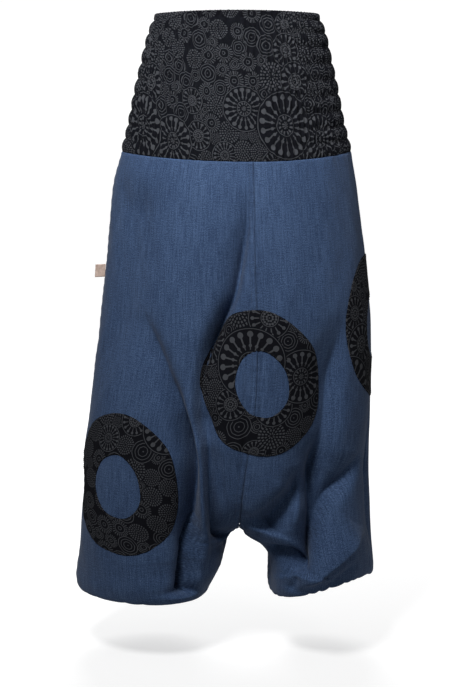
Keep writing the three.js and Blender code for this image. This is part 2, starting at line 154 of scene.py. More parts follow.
# The four denim panels
# Two fronts and two backs of light indigo denim, each cut in one piece from the waist seam to the
# ankle. They are sewn at the centre, the sides and the inseams, hang from the hips in long folds
# and blouse over the ankles. Sizes are in millimetres here, and a mesh turns them into metres.


def table(columns, rows):
    """A short table as one array for each named column."""
    return dict(zip(columns.split(), np.array(rows, float).T))


# Sections from the waist opening to the rim, where the legs turn in. z_front, z_back and z_side are
# heights; right and left are the widest points; seam_right and seam_left are the centre seam and,
# below the crotch, the inseams; front and back are depths from SIDE_Y. under is the angle in degrees
# by which the centre seam has curved under the crotch. away and rise say how far a section's curve
# leaves that seam sideways and outwards, and full how squarely it comes round to the side, as shares
# of its width and depth. lift raises the side of the left leg.
SECTIONS = table(
    "z_front z_back z_side right left seam_right seam_left front back under away rise full lift",
    [
        (0, 0, -3, -129, 130, 0, 0, 100, 96, 0, 0.6, 0, 0.59, 0),
        (-33, -32, -34, -142, 143, 5, 5, 104, 100, 0, 0.6, 0, 0.59, 0),
        (-85, -82, -81, -154, 154, 10, 10, 112, 107, 0, 0.6, 0, 0.59, 0),
        (-138, -133, -131, -166, 165, 15, 15, 120, 115, 0, 0.6, 0, 0.59, 0),
        (-189, -183, -180, -176, 175, 21, 21, 126, 122, 0, 0.6, 0, 0.59, 0),
        (-235, -228, -223, -187, 186, 26, 26, 131, 128, 0, 0.6, 0, 0.59, 0),
        (-275, -273, -270, -200, 194, 27, 27, 138, 139, 0, 0.6, 0, 0.59, 0),
        (-335, -335, -335, -207, 203, 28, 28, 145, 148, 0, 0.6, 0, 0.59, 0),
        (-400, -400, -400, -213, 212, 29, 29, 151, 153, 0, 0.6, 0, 0.59, 0),
        (-467, -467, -467, -221, 219, 32, 32, 156, 153, 0, 0.6, 0, 0.59, 0),
        (-533, -533, -533, -229, 222, 33, 33, 158, 151, 0, 0.6, 0, 0.59, 0),
        (-600, -600, -600, -239, 222, 31, 31, 158, 149, 0, 0.6, 0, 0.62, 0),
        (-663, -663, -663, -248, 221, 24, 24, 157, 146, 0, 0.6, 0, 0.67, 0),
        (-718, -718, -718, -256, 220, 15, 15, 153, 143, 11, 0.6, 0.08, 0.66, 0),
        (-767, -765, -765, -262, 220, 9, 9, 149, 140, 23, 0.56, 0.2, 0.7, 0),
        (-808, -806, -802, -265, 222, 6, 6, 145, 137, 39, 0.5, 0.47, 0.75, 0),
        (-835, -834, -832, -265, 224, 4, 4, 148, 141, 60, 0.31, 0.79, 0.89, 0),
        (-848, -848, -853, -265, 225, 4, 4, 152, 145, 90, 0.1, 1.39, 1, 0),
        (-864, -864, -873, -265, 226, -13, 28, 149, 143, 120, 0.09, 1.5, 0.91, 3),
        (-884, -884, -892, -266, 227, -19, 50, 149, 143, 150, 0, 1.52, 0.91, 7),
        (-906, -906, -911, -268, 228, -25, 53, 146, 140, 150, 0, 1.6, 0.88, 11),
        (-927, -927, -929, -269, 229, -35, 53, 141, 136, 150, 0, 1.6, 0.88, 15),
        (-945, -943, -944, -268, 229, -45, 54, 134, 131, 150, 0, 1.6, 0.88, 19),
    ],
)
SEAM_ROW = 5                      # the waist seam
CROTCH_ROW = 17
RIM_ROW = 22                      # below it the legs turn in to the ankles
EASED_ROWS = (12.5, 21.5)         # the sections that are evened out round the crotch
EASE_SHIFTS = (-1.8, -1.2, -0.6, 0.0, 0.6, 1.2, 1.8)
EASE_FADE = 2                     # rows
EASE_START = (0.04, 0.3)          # shares of the way from the seam, between which it sets in
SIDE_Y = 8                        # the front and back half of a section meet here
SIDE_SEAMS = {-1: 0.98, 1: 0.88}  # -1 is the right half and 1 the left, 0 front centre and 1 side
TURN_IN = table(                  # below the rim: shares of the way to the ankle, in and up
    "inward up drop gather",
    [(0, 0, 0, 0), (0.04, 0, 6, 0), (0.14, 0.02, 8, 0.6), (0.35, 0.18, 4, 2), (0.7, 0.6, 0, 3.5),
     (1, 1, 0, 2)],
)
END_ROW = 27
ANKLES = {-1: (-132, 14, -911), 1: (134, 14, -900)}
ANKLE_RADIUS = 42.3
HALVES = {"right": -1, "left": 1}
FACINGS = {"front": -1, "back": 1}

# Each fold follows its path of points (h, z), where h is x on the front and back, and y on the right
# and left. low is its half-width towards lower h, or below a path that runs level, and high the one
# on the other side. depth is how far it moves the cloth outwards, top and foot are the shares of its
# length over which it fades, and edge is 2 for a round fold and nearer 1 for a sharp crease.
FOLDS = [
    ("front", [(21, -258), (19, -323), (14, -356), (6, -403), (-2, -440), (-22, -482), (-46, -537),
               (-58, -600)], 14, 4, -22, 0.45, 0.3, 1.2),
    ("front", [(17, -270), (4, -403), (-4, -450), (-40, -530)], 34, 8, -11, 0.5, 0.3, 1.6),
    ("front", [(-8, -440), (-24, -482), (-46, -537), (-58, -600), (-57, -690)],
     10, 34, -26, 0.35, 0.2, 1.6),
    ("front", [(-52, -610), (-47, -700), (-44, -770), (-37, -815), (-27, -838), (-12, -856)],
     8, 20, -30, 0.4, 0.06, 1.4),
    ("front", [(-158, -455), (-132, -520), (-110, -575), (-94, -640)], 26, 10, -16, 0.5, 0.3, 1.5),
    ("front", [(-104, -560), (-91, -615), (-75, -673), (-67, -730), (-66, -835), (-70, -942)],
     26, 5, -58, 0.35, 0.03, 1.3),
    ("front", [(-84, -560), (-72, -640), (-58, -717), (-55, -800), (-52, -900)], 8, 8, 13, 0.4, 0.2, 2),
    ("front", [(105, -715), (93, -764), (71, -784), (52, -803), (34, -832)], 20, 24, -34, 0.35, 0.1, 1.4),
    ("front", [(92, -720), (78, -752), (61, -768), (43, -784), (24, -797), (6, -814)],
     22, 4, 9, 0.4, 0.2, 1.5),
    ("front", [(140, -660), (137, -747), (133, -802), (123, -835), (108, -873), (98, -901)],
     26, 26, -38, 0.35, 0.06, 1.4),
    ("front", [(112, -700), (100, -790), (88, -850)], 14, 9, 8, 0.4, 0.3, 2),
    ("front", [(200, -700), (186, -746), (161, -783), (140, -820), (118, -865), (102, -902)],
     30, 5, -33, 0.35, 0.1, 1.3),
    ("front", [(214, -833), (194, -850), (163, -878), (135, -902), (98, -928)], 34, 4, 19, 0.3, 0.3, 1.4),
    ("front", [(202, -882), (170, -906), (140, -928)], 8, 16, -7, 0.4, 0.4, 1.6),
    ("front", [(36, -857), (63, -858), (76, -860), (84, -869), (90, -888), (97, -899)],
     26, 3, -24, 0.12, 0.15, 1.5),
    ("front", [(97, -895), (92, -912), (84, -932)], 6, 10, -7, 0.3, 0.3, 1.4),
    ("front", [(170, -460), (160, -560), (151, -650), (140, -730), (126, -800)],
     50, 12, -28, 0.4, 0.3, 1.5),
    ("front", [(-158, -246), (-164, -330), (-174, -420), (-188, -520), (-200, -620)],
     34, 38, -12, 0.2, 0.4, 2),
    ("front", [(-140, -800), (-130, -860), (-118, -930)], 26, 22, -7, 0.4, 0.3, 1.6),
    ("front", [(16, -470), (17, -560), (14, -640), (8, -730), (2, -800)], 6, 5, -4, 0.3, 0.3, 1.5),
    ("front", [(38, -500), (38, -600), (34, -690)], 5, 7, -3.5, 0.3, 0.4, 1.5),
    ("front", [(-27, -690), (-24, -740), (-18, -800)], 6, 6, -4, 0.4, 0.4, 1.5),
    ("front", [(-10, -680), (-9, -740), (-5, -800)], 6, 5, -3.5, 0.4, 0.4, 1.5),
    ("back", [(-40, -390), (-66, -600), (-84, -900)], 26, 10, -24, 0.4, 0.2, 1.5),
    ("back", [(26, -262), (38, -480), (60, -700)], 12, 30, -14, 0.5, 0.4, 1.5),
    ("back", [(92, -470), (104, -680), (98, -920)], 12, 26, -24, 0.4, 0.2, 1.5),
    ("back", [(-150, -500), (-158, -700), (-150, -915)], 24, 12, -15, 0.4, 0.3, 1.5),
    ("back", [(-110, -690), (-62, -775), (-6, -826)], 24, 10, -16, 0.4, 0.3, 1.5),
    ("back", [(128, -700), (80, -790), (30, -838)], 10, 26, -14, 0.4, 0.3, 1.5),
    ("back", [(170, -560), (168, -740), (160, -910)], 12, 24, -13, 0.4, 0.3, 1.5),
    ("back", [(-214, -850), (-168, -884), (-112, -926)], 6, 30, 12, 0.3, 0.3, 1.5),
    ("right", [(30, -520), (26, -700), (12, -910)], 28, 14, -10, 0.4, 0.3, 1.5),
    ("right", [(-30, -700), (-20, -820), (-2, -930)], 10, 22, -8, 0.4, 0.3, 1.5),
    ("left", [(44, -560), (40, -720), (30, -890)], 14, 28, -11, 0.4, 0.3, 1.5),
    ("left", [(-34, -640), (-26, -780), (-10, -910)], 22, 10, -8, 0.4, 0.3, 1.5),
]
FACES = {"front": (0, (0, -1)), "back": (0, (0, 1)), "right": (1, (-1, 0)), "left": (1, (1, 0))}


def column(rows, name, at):
    """A smooth curve through a column with no overshoot: a cubic between rows whose slope at a row
    is the harmonic mean of the steps on its two sides."""
    values = rows[name]
    steps = np.diff(values)
    before, after = np.append(0, steps), np.append(steps, 0)
    steady = before * after > 0
    slopes = np.where(steady, 2 * before * after / np.where(steady, before + after, 1), 0)
    i = np.clip(np.floor(at).astype(int), 0, len(values) - 2)
    s = at - i
    bend = slopes[i] * s * (1 - s) ** 2 - slopes[i + 1] * s * s * (1 - s)
    return values[i] + (values[i + 1] - values[i]) * s * s * (3 - 2 * s) + bend


def smoothstep(value, low, high):
    """0 up to low, 1 from high on, and an S-curve between."""
    t = np.clip((value - low) / (high - low), 0, 1)
    return t * t * (3 - 2 * t)


def section_point(side, facing, u, row):
    """Half a section: a cubic Bezier curve from the centre seam or inseam (u 0) to the side (u 1).
    Its second point lies away along x and rise outwards, its third squarely off the side."""
    is_left, is_front = side > 0, facing < 0
    get = {name: column(SECTIONS, name, row) for name in SECTIONS}
    depth = np.where(is_front, get["front"], get["back"])
    lift = np.where(is_left, get["lift"], 0)
    beside = np.maximum(np.cos(np.radians(get["under"])), 0)
    seam_x = np.where(is_left, get["seam_left"], get["seam_right"])
    side_x = np.where(is_left, get["left"], get["right"])
    seam_y = SIDE_Y + facing * depth * beside
    seam_z = np.where(is_front, get["z_front"], get["z_back"])
    side_z = get["z_side"] + lift
    x = [seam_x, seam_x + get["away"] * (side_x - seam_x), side_x, side_x]
    y = [seam_y, seam_y + facing * get["rise"] * depth, SIDE_Y + facing * get["full"] * depth, SIDE_Y]
    z = [seam_z, seam_z, side_z + np.where(is_front, 2 * lift, 0), side_z]
    share = [(1 - u) ** 3, 3 * u * (1 - u) ** 2, 3 * u * u * (1 - u), u ** 3]
    return np.stack([sum(s * p for s, p in zip(share, axis)) for axis in (x, y, z)], -1)


def eased(side, facing, u, row, p):
    """Evens the sections where the seat becomes two legs: the way from a point to the mean of its
    neighbours up and down, all of it away from the centre seam and none of it at the seam."""
    near = (row > EASED_ROWS[0]) & (row < EASED_ROWS[1])
    away = np.zeros(p.shape)
    if near.any():
        place = (side[near], facing[near], u[near])
        means = [section_point(*place, np.clip(row[near] + shift, 0, RIM_ROW))
                 for shift in EASE_SHIFTS]
        begun = smoothstep(row[near], EASED_ROWS[0], EASED_ROWS[0] + EASE_FADE)
        ended = smoothstep(row[near], EASED_ROWS[1] - EASE_FADE, EASED_ROWS[1])
        share = smoothstep(u[near], *EASE_START) * begun * (1 - ended)
        away[near] = (sum(means) / len(means) - p[near]) * share[:, None]
    return away


def smooth_point(side, around, row):
    """The garment without folds. around runs from 0 at the front centre over 1 at the side to 2 at
    the back centre, and past either end on to the other half or, on a leg, round the inseam.
    Below the rim a point moves from the rim to the circle of the ankle casing."""
    side, around, row = np.broadcast_arrays(*(np.asarray(v, float) for v in (side, around, row)))
    outside = (around < 0) | (around > 2)
    on_leg = row > CROTCH_ROW
    mirrored = np.where(around < 0, -around, 4 - around)
    side = np.where(outside & ~on_leg, -side, side)
    around = np.where(outside, np.where(on_leg, around % 2, mirrored), around)
    facing = np.where(around <= 1, -1.0, 1.0)
    u = np.where(around <= 1, around, 2 - around)
    p = section_point(side, facing, u, np.minimum(row, RIM_ROW))
    p = p + eased(side, facing, u, row, p)
    turned = np.maximum(row - RIM_ROW, 0)
    ankle = np.where((side > 0)[..., None], ANKLES[1], ANKLES[-1])
    circle = ankle + ANKLE_RADIUS * np.stack(
        [-side * np.cos(np.pi * u), facing * np.sin(np.pi * u), np.zeros_like(u)], -1)
    inward = column(TURN_IN, "inward", turned)
    up = column(TURN_IN, "up", turned)
    share = np.stack([inward, inward, up], -1)
    p = p + share * (circle - p)
    p[..., 2] -= column(TURN_IN, "drop", turned)
    return p


def unit(vectors, least=1e-9):
    """Vectors scaled to length 1. One shorter than least is scaled as if it had that length."""
    return vectors / np.maximum(np.linalg.norm(vectors, axis=-1, keepdims=True), least)


SMALL_STEP = 0.01                 # of around and row, to measure a slope


def normal_of(surface, side, around, row):
    """The outward normal of a surface, from small steps across and down it."""
    across = surface(side, around + SMALL_STEP, row) - surface(side, around - SMALL_STEP, row)
    above = surface(side, around, np.maximum(row - SMALL_STEP, 0))
    below = surface(side, around, np.minimum(row + SMALL_STEP, END_ROW))
    return unit(-np.cross(across, below - above) * np.asarray(side, float)[..., None])


def level(normals):
    """Normals turned level, and shorter where the cloth faces almost straight down."""
    return unit(normals * (1, 1, 0), 0.15)


def run_length(p, axis):
    """Distance along a line's points, or a grid's rows or columns, from its first edge."""
    steps = np.linalg.norm(np.diff(p, axis=axis), axis=-1)
    return np.insert(np.cumsum(steps, axis=axis), 0, 0, axis=axis)


PATH_STEPS = 60                   # along a fold
FOLD_REACH = 2.6                  # half-widths, past which a fold is too shallow to count
FACES_THAT_WAY = (0.1, 0.6)       # cosines of the cloth's turn between which a fold sets in


def fold_path(points):
    """A fold's path as points close together, its direction and share of the length at each, and
    its length."""
    h, z = np.array(points, float).T
    at = np.linspace(0, len(h) - 1, PATH_STEPS)
    path = np.stack([column({"h": h}, "h", at), np.interp(at, np.arange(len(z)), z)], -1)
    length = run_length(path, 0)
    return path, unit(np.gradient(path, axis=0)), length / length[-1], length[-1]


def fold_offset(p, n):
    """How far the folds move the cloth outwards: for each fold a bell curve of the distance from its
    path, with its own width on either side, times an S-curve at both ends and how squarely the
    cloth faces that way."""
    offset = np.zeros(p.shape[:-1])
    for face, points, low, high, depth, top, foot, edge in FOLDS:
        across, way = FACES[face]
        path, ahead, share, length = fold_path(points)
        reach = FOLD_REACH * max(low, high)
        spot = p[..., [across, 2]]
        near = ((spot > path.min(0) - reach) & (spot < path.max(0) + reach)).all(-1)
        facing = smoothstep(n[..., :2] @ np.array(way, float), *FACES_THAT_WAY)
        near &= facing > 0
        if not near.any():
            continue
        gap = spot[near][:, None, :] - path[None, :, :]
        closest = np.linalg.norm(gap, axis=-1).argmin(1)
        gap = np.take_along_axis(gap, closest[:, None, None], 1)[:, 0]
        side = ahead[closest, 0] * gap[:, 1] - ahead[closest, 1] * gap[:, 0]
        along = share[closest] + (gap * ahead[closest]).sum(-1) / length
        fade = smoothstep(along, 0, top) * smoothstep(1 - along, 0, foot)
        bell = np.exp(-(np.abs(side / np.where(side < 0, low, high)) ** edge))
        offset[near] += depth * fade * facing[near] * bell
    return offset


RIPPLES = 14
RIPPLE_LENGTHS = (34, 130)        # from crest to crest
RIPPLE_PACES = (60, 140)          # how slowly they waver down the cloth, in millimetres to the radian
RIPPLE_LEAN = 0.22
MEAN_RADIUS = 180


def ripples(p):
    """Slack in the cloth: a sum of sine waves of random length and phase that mostly run down, and
    make a swell of about 1 mm."""
    rng = np.random.default_rng(3)
    around = np.arctan2(p[..., 1] - SIDE_Y, p[..., 0]) * MEAN_RADIUS
    total = np.zeros(p.shape[:-1])
    for _ in range(RIPPLES):
        wave = 2 * np.pi / rng.uniform(*RIPPLE_LENGTHS)
        lean = rng.normal(0, RIPPLE_LEAN)
        phase = wave * (around + lean * p[..., 2]) + rng.uniform(0, 2 * np.pi)
        slow = np.sin(p[..., 2] / rng.uniform(*RIPPLE_PACES) + rng.uniform(0, 2 * np.pi))
        total += np.sin(phase + 0.8 * slow) * (0.6 + 0.4 * slow) / math.sqrt(RIPPLES)
    return total


def cloth_point(side, around, row):
    """The garment with its folds and slack, which move the cloth level and fade past the rim."""
    p = smooth_point(side, around, row)
    n = level(normal_of(smooth_point, side, around, row))
    fade = 1 - smoothstep(row, RIM_ROW, RIM_ROW + 1.5)
    return p + n * ((fold_offset(p, n) + ripples(p)) * fade)[..., None]


FINE_STEPS = 3000                 # along a curve, to measure it


def evenly(curve, start, end, step):
    """Parameter values between start and end at which a curve's points lie about step apart."""
    t = np.linspace(start, end, FINE_STEPS)
    length = run_length(curve(t), 0)
    return np.interp(np.linspace(0, length[-1], round(length[-1] / step) + 1), length, t)


SEAM_HALF_GAP = 0.15
PANEL_STEP = 3.0
WIDTH_ROW = 13                    # the section along which a panel's columns are spaced
EDGE_COLUMNS = np.array([SEAM_HALF_GAP, 0.6, 1.1, 1.8])
EDGE_ROOM = 1.3 * EDGE_COLUMNS[-1]    # what they need beside the next column
DENIM_THICKNESS = 0.6


def panel_grid(side, facing):
    """around and row for every point of a panel's grid: even columns, and close ones at fixed
    distances from its two edges, which move together where the panel is narrow."""
    seam = SIDE_SEAMS[side]
    start, end = (0, seam) if facing < 0 else (2, seam)
    rows = evenly(lambda t: smooth_point(side, (start + end) / 2, t), SEAM_ROW, END_ROW, PANEL_STEP)
    middle = evenly(lambda t: smooth_point(side, t, WIDTH_ROW), start, end, PANEL_STEP)
    inner = ((middle - start) / (end - start))[1:-1]
    edge = np.zeros(len(EDGE_COLUMNS))
    share = np.concatenate([edge, inner, edge + 1])
    fixed = np.concatenate([EDGE_COLUMNS, 0 * inner, -EDGE_COLUMNS[::-1]])
    step = SMALL_STEP * np.sign(end - start)
    speeds = [np.linalg.norm(smooth_point(side, at + step, rows) - smooth_point(side, at, rows),
                             axis=-1)[:, None] for at in (start, end - step)]
    speed = np.where(fixed > 0, *speeds)
    room = inner[0] * (end - start) / step * speed
    fixed = fixed * np.minimum(1, room / EDGE_ROOM)
    around = start + (end - start) * share + step * fixed / speed
    return around, np.broadcast_to(rows[:, None], around.shape)


def grid_normals(p, side):
    """Outward normals of a grid of points, from its neighbours."""
    return unit(np.cross(np.gradient(p, axis=1), np.gradient(p, axis=0)) * side)


def sheet_mesh(name, p, uv, outward, thickness, closed=False):
    """A sheet from a grid of points in millimetres and its place on the flat cloth in metres. Its
    wall grows inwards from the outer face by a Solidify modifier."""
    rows, columns = p.shape[:2]
    index = np.arange(rows * columns).reshape(rows, columns)
    right = np.roll(index, -1, axis=1) if closed else index[:, 1:]
    left = index if closed else index[:, :-1]
    quads = np.stack([left[:-1], left[1:], right[1:], right[:-1]], -1).reshape(-1, 4)
    corners = uv.reshape(-1, 2)[quads]
    a, b, c = (p.reshape(-1, 3)[quads[:, k]] for k in range(3))
    facing = (np.cross(b - a, c - a) * outward.reshape(-1, 3)[quads[:, 0]]).sum()
    if facing < 0:
        quads, corners = quads[:, ::-1], corners[:, ::-1]
    mesh = bpy.data.meshes.new(name)
    mesh.vertices.add(rows * columns)
    mesh.vertices.foreach_set("co", (p.reshape(-1, 3) / 1000).astype(np.float32).ravel())
    mesh.loops.add(quads.size)
    mesh.loops.foreach_set("vertex_index", quads.astype(np.int32).ravel())
    mesh.polygons.add(len(quads))
    mesh.polygons.foreach_set("loop_start", np.arange(0, quads.size, 4, dtype=np.int32))
    mesh.polygons.foreach_set("use_smooth", np.ones(len(quads), bool))
    mesh.update(calc_edges=True)
    layer = mesh.uv_layers.new(name="cloth")
    layer.data.foreach_set("uv", corners.astype(np.float32).ravel())
    piece = bpy.data.objects.new(name, mesh)
    bpy.context.scene.collection.objects.link(piece)
    solidify = piece.modifiers.new("wall", "SOLIDIFY")
    solidify.thickness = thickness / 1000
    solidify.offset = -1
    return piece


def closeness(distance, width):
    """1 at a seam or edge and falling off as a bell curve over width."""
    return np.exp(-((distance / width) ** 2))


class Field:
    """A number worked out by a material's nodes, written as ordinary arithmetic."""

    def __init__(self, tree, socket):
        self.tree = tree
        self.socket = socket

    def math(self, operation, *others, clamp=False):
        """The result of a maths node on this number and others."""
        node = self.tree.nodes.new("ShaderNodeMath")
        node.operation = operation
        node.use_clamp = clamp
        for place, value in enumerate((self, *others)):
            if isinstance(value, Field):
                self.tree.links.new(value.socket, node.inputs[place])
            else:
                node.inputs[place].default_value = value
        return Field(self.tree, node.outputs[0])

    def __add__(self, other):
        return self.math("ADD", other)

    def __sub__(self, other):
        return self.math("SUBTRACT", other)

    def __mul__(self, other):
        return self.math("MULTIPLY", other)

    def __truediv__(self, other):
        return self.math("DIVIDE", other)

    def under(self, edge, blur):
        """1 where the number is below edge and 0 above it, over a soft step of width blur."""
        return ((self * -1 + edge) / blur).math("ADD", 0.5, clamp=True)


def uv_noise(tree, scale_u, scale_v, detail=2.0):
    """Noise over the flat cloth, with scale_u and scale_v cells to the metre."""
    nodes, links = tree.nodes, tree.links
    uv = nodes.new("ShaderNodeUVMap")
    uv.uv_map = "cloth"
    stretch = nodes.new("ShaderNodeVectorMath")
    stretch.operation = "MULTIPLY"
    stretch.inputs[1].default_value = (scale_u, scale_v, 1)
    noise = nodes.new("ShaderNodeTexNoise")
    noise.inputs["Scale"].default_value = 1
    noise.inputs["Detail"].default_value = detail
    links.new(uv.outputs[0], stretch.inputs[0])
    links.new(stretch.outputs[0], noise.inputs["Vector"])
    return Field(tree, noise.outputs["Fac"])


def new_cloth(name, roughness, sheen):
    """A material with a cloth's shader: rough, with a soft sheen, and nothing else yet."""
    material = bpy.data.materials.new(name)
    material.use_nodes = True
    shader = material.node_tree.nodes["Principled BSDF"]
    shader.inputs["Roughness"].default_value = roughness
    shader.inputs["Specular IOR Level"].default_value = 0.25
    shader.inputs["Sheen Weight"].default_value = sheen
    shader.inputs["Sheen Roughness"].default_value = 0.5
    return material, material.node_tree, shader


def ramp(tree, value, stops, target):
    """Colours a number by a ramp of (place, colour) stops and links it to a socket."""
    node = tree.nodes.new("ShaderNodeValToRGB")
    elements = node.color_ramp.elements
    while len(elements) < len(stops):
        elements.new(0.5)
    for element, (place, colour) in zip(elements, stops):
        element.position = place
        element.color = (*colour, 1)
    tree.links.new(value.socket, node.inputs[0])
    tree.links.new(node.outputs[0], target)


def bumped(tree, shader, height, distance):
    """Links a number to the shader's normal as a bump that is distance metres high."""
    bump = tree.nodes.new("ShaderNodeBump")
    bump.inputs["Distance"].default_value = distance
    tree.links.new(height.socket, bump.inputs["Height"])
    tree.links.new(bump.outputs[0], shader.inputs["Normal"])


DENIM_DARK = (0.013, 0.028, 0.068)
DENIM_MID = (0.030, 0.060, 0.133)
DENIM_LIGHT = (0.075, 0.125, 0.230)


def denim(name, lightness):
    """Light indigo denim: uneven warp threads as noise drawn out down the cloth, fine weft across
    it, and a mottled wash. lightness moves the whole ramp towards the pale weft."""
    material, tree, shader = new_cloth(name, 0.85, 0.06)
    slubs = uv_noise(tree, 560, 30, 1)
    broad = uv_noise(tree, 190, 8, 1)
    weft = uv_noise(tree, 70, 600, 1)
    wash = uv_noise(tree, 10, 7)
    flecks = uv_noise(tree, 760, 620, 1)
    tone = slubs * 0.21 + broad * 0.07 + weft * 0.14 + wash * 0.13 + flecks * 0.45
    ramp(tree, tone + lightness, [(0.38, DENIM_DARK), (0.5, DENIM_MID), (0.64, DENIM_LIGHT)],
         shader.inputs["Base Color"])
    bumped(tree, shader, slubs * 0.5 + weft * 0.2 + flecks * 0.4, 0.0005)
    return material


denim_outside = denim("denim", 0.0)
denim_inside = denim("denim_inside", 0.16)

SEAT_ROW = 12
FELLED_SIDE = -1                  # the centre seams' allowance lies on the right panels
FELL_WIDTH = 9
FELL_HEIGHT = 0.5
SEAM_DIP = 0.55
PUCKER_HEIGHT = 0.35
PUCKER_PLACE = 5                  # from the seam
DRAWN_HEIGHT = 0.5                # of the small gathers under the waist seam
HEM_GATHERS = {-1: 22, 1: 12}     # across a front and across a back panel, at the ankle
HEM_HEIGHT = 0.55                 # of those gathers, as a share of the solid's
HEM_LOBES = {-1: (5, 1.2), 1: (11, 2.4)}    # lobes of a right and a left leg's hem, and their drop


def grain(from_side, row, side):
    """The warp's place across a panel: its share of the way from the side seam, so that threads run
    down and splay a little. From the seat down the share is of the seat's width, which keeps the
    threads straight where the panel passes under the crotch."""
    full = from_side[:, 0]
    seat = np.interp(SEAT_ROW, row[:, 0], full)
    side_x = column(SECTIONS, "left" if side > 0 else "right", np.minimum(row[:, 0], RIM_ROW))
    seat_x = column(SECTIONS, "left" if side > 0 else "right", np.array(SEAT_ROW))
    across = np.where(row[:, 0] < SEAT_ROW, full, seat * side_x / seat_x)
    return -seat * from_side / across[:, None]


def wavering(distance, pace, slow_pace, swing):
    """A sine wave of a distance whose phase swings: the paces are in millimetres to the radian."""
    return np.sin(distance / pace + swing * np.sin(distance / slow_pace))


def sewing(width, length, row, side):
    """How far its seams move a panel outwards: a dip at each seam and puckers beside it, small
    gathers under the waist seam, and the felled allowance along the centre seam."""
    from_side = width[:, -1:] - width
    dip = SEAM_DIP * (closeness(width, 0.8) + closeness(from_side, 0.8) + closeness(length, 1.6))
    beside = closeness(width - PUCKER_PLACE, 7) + closeness(from_side - PUCKER_PLACE, 7)
    pucker = PUCKER_HEIGHT * wavering(length, 2.6, 31, 3) * beside
    drawn = DRAWN_HEIGHT * wavering(width, 3.1, 17, 2) * closeness(length - 3, 9)
    fell = FELL_HEIGHT * (1 - smoothstep(width, FELL_WIDTH - 1, FELL_WIDTH + 1))
    fell = fell * (side == FELLED_SIDE)
    return -dip + (pucker + drawn) * (row < RIM_ROW) + fell * (row < CROTCH_ROW)


def hem(share, row, side, facing):
    """How far the hem's gathers and lobes move a panel outwards, and how far the lobes hang down.
    share is the place across the panel, and both waves of it are uneven."""
    turned = np.maximum(row - RIM_ROW, 0)
    wander = 0.16 * np.sin(5 * share * np.pi + 1.3) + 0.1 * np.sin(11 * share * np.pi)
    gathers = column(TURN_IN, "gather", turned) * np.cos(
        2 * np.pi * HEM_GATHERS[facing] * share + 6 * wander)
    lobes, drop = HEM_LOBES[side]
    lobe = np.abs(np.sin(np.pi * (lobes * share + 0.5 * np.sin(9 * share) + 0.3 * np.sin(23 * share))))
    drop = drop * (0.7 + 0.3 * np.sin(13 * share)) * (0.4 + 0.6 * share)
    pinch = 0.7 * drop * (lobe ** 0.6 - 1) * smoothstep(row, RIM_ROW - 2, RIM_ROW + 0.5)
    hangs = smoothstep(row, RIM_ROW - 1.5, RIM_ROW + 0.5) * (1 - smoothstep(turned, 2, 4))
    return HEM_HEIGHT * gathers + pinch, drop * (lobe ** 0.7 - 0.65) * hangs


def denim_panel(name, side, facing):
    """A panel: the folded garment over its grid, moved by its sewing and its hem. Returns the piece,
    its points and normals, and how far each point lies from the centre seam."""
    around, row = panel_grid(side, facing)
    p = cloth_point(side, around, row)
    flat = smooth_point(side, around, row)
    width, length = run_length(flat, 1), run_length(flat, 0)
    n = grid_normals(p, side * facing)
    n *= np.sign((n * normal_of(smooth_point, side, around, row)).sum(-1, keepdims=True))
    gathered, hangs = hem(width / width[:, -1:], row, side, facing)
    p = p + n * (sewing(width, length, row, side) + gathered)[..., None]
    p[..., 2] -= hangs
    uv = np.stack([grain(width[:, -1:] - width, row, side), -length], -1) / 1000
    piece = sheet_mesh(name, p, uv, n, DENIM_THICKNESS)
    piece.data.materials.append(denim_outside)
    piece.data.materials.append(denim_inside)
    piece.modifiers["wall"].material_offset = 1
    return piece, p, n, width


def cut_of(piece):
    """The cut of a piece, from its place on the flat cloth: width and length, and its area."""
    corners = np.zeros(len(piece.data.loops) * 2, np.float32)
    piece.data.uv_layers["cloth"].data.foreach_get("uv", corners)
    quads = corners.reshape(-1, 4, 2).astype(float)
    width, length = np.ptp(quads.reshape(-1, 2), axis=0)
    u, v = quads[..., 0], quads[..., 1]
    area = np.abs((u * np.roll(v, -1, 1) - v * np.roll(u, -1, 1)).sum(1)).sum() / 2
    return {"flat": (width, length), "area": area}


TOPSTITCHED = (1.6, 8.0)          # distances of the two rows from the centre seam


def seam_columns(p, n, from_centre, side, facing):
    """The panel's columns that lie nearest to the two rows of topstitching, down to the crotch."""
    crotch = smooth_point(side, 0 if facing < 0 else 2, CROTCH_ROW)
    end = np.linalg.norm(crotch - p[:, 0], axis=-1).argmin()
    columns = [np.abs(from_centre[:end].mean(0) - distance).argmin() for distance in TOPSTITCHED]
    return [(p[:end, k], n[:end, k]) for k in columns]


seam_lines = {}
for face, facing in FACINGS.items():
    for half, side in HALVES.items():
        name = f"{face}_{half}"
        piece, points, normals, from_centre = denim_panel(f"denim_{name}", side, facing)
        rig.ride(piece, "root")
        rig.replaces(piece, name)
        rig.slot(piece, "denim")
        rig.sheet(piece, held="hung", rests_on=[f"waistband_{face}"], **cut_of(piece))
        if side == FELLED_SIDE:
            seam_lines[face] = seam_columns(points, normals, from_centre, side, facing)

# The topstitching of the centre seams
# Two rows of dark blue thread along the felled allowance, front and back, from the waist seam to
# under the crotch. Each stitch lies on the cloth and dives into it at both ends.
STITCH_LENGTH = 2.7
STITCH_PITCH = 3.7
THREAD_RADIUS = 0.3
THREAD_SIDES = 6
STITCH_TAPER = 0.96               # 1 would bring a stitch's ends to a point
STITCH_RISE = 1.2                 # of a stitch's middle, in thread radii
STITCH_SINK = 0.6                 # of the whole stitch into the cloth, in thread radii
THREAD_BLUE = (0.018, 0.036, 0.085)


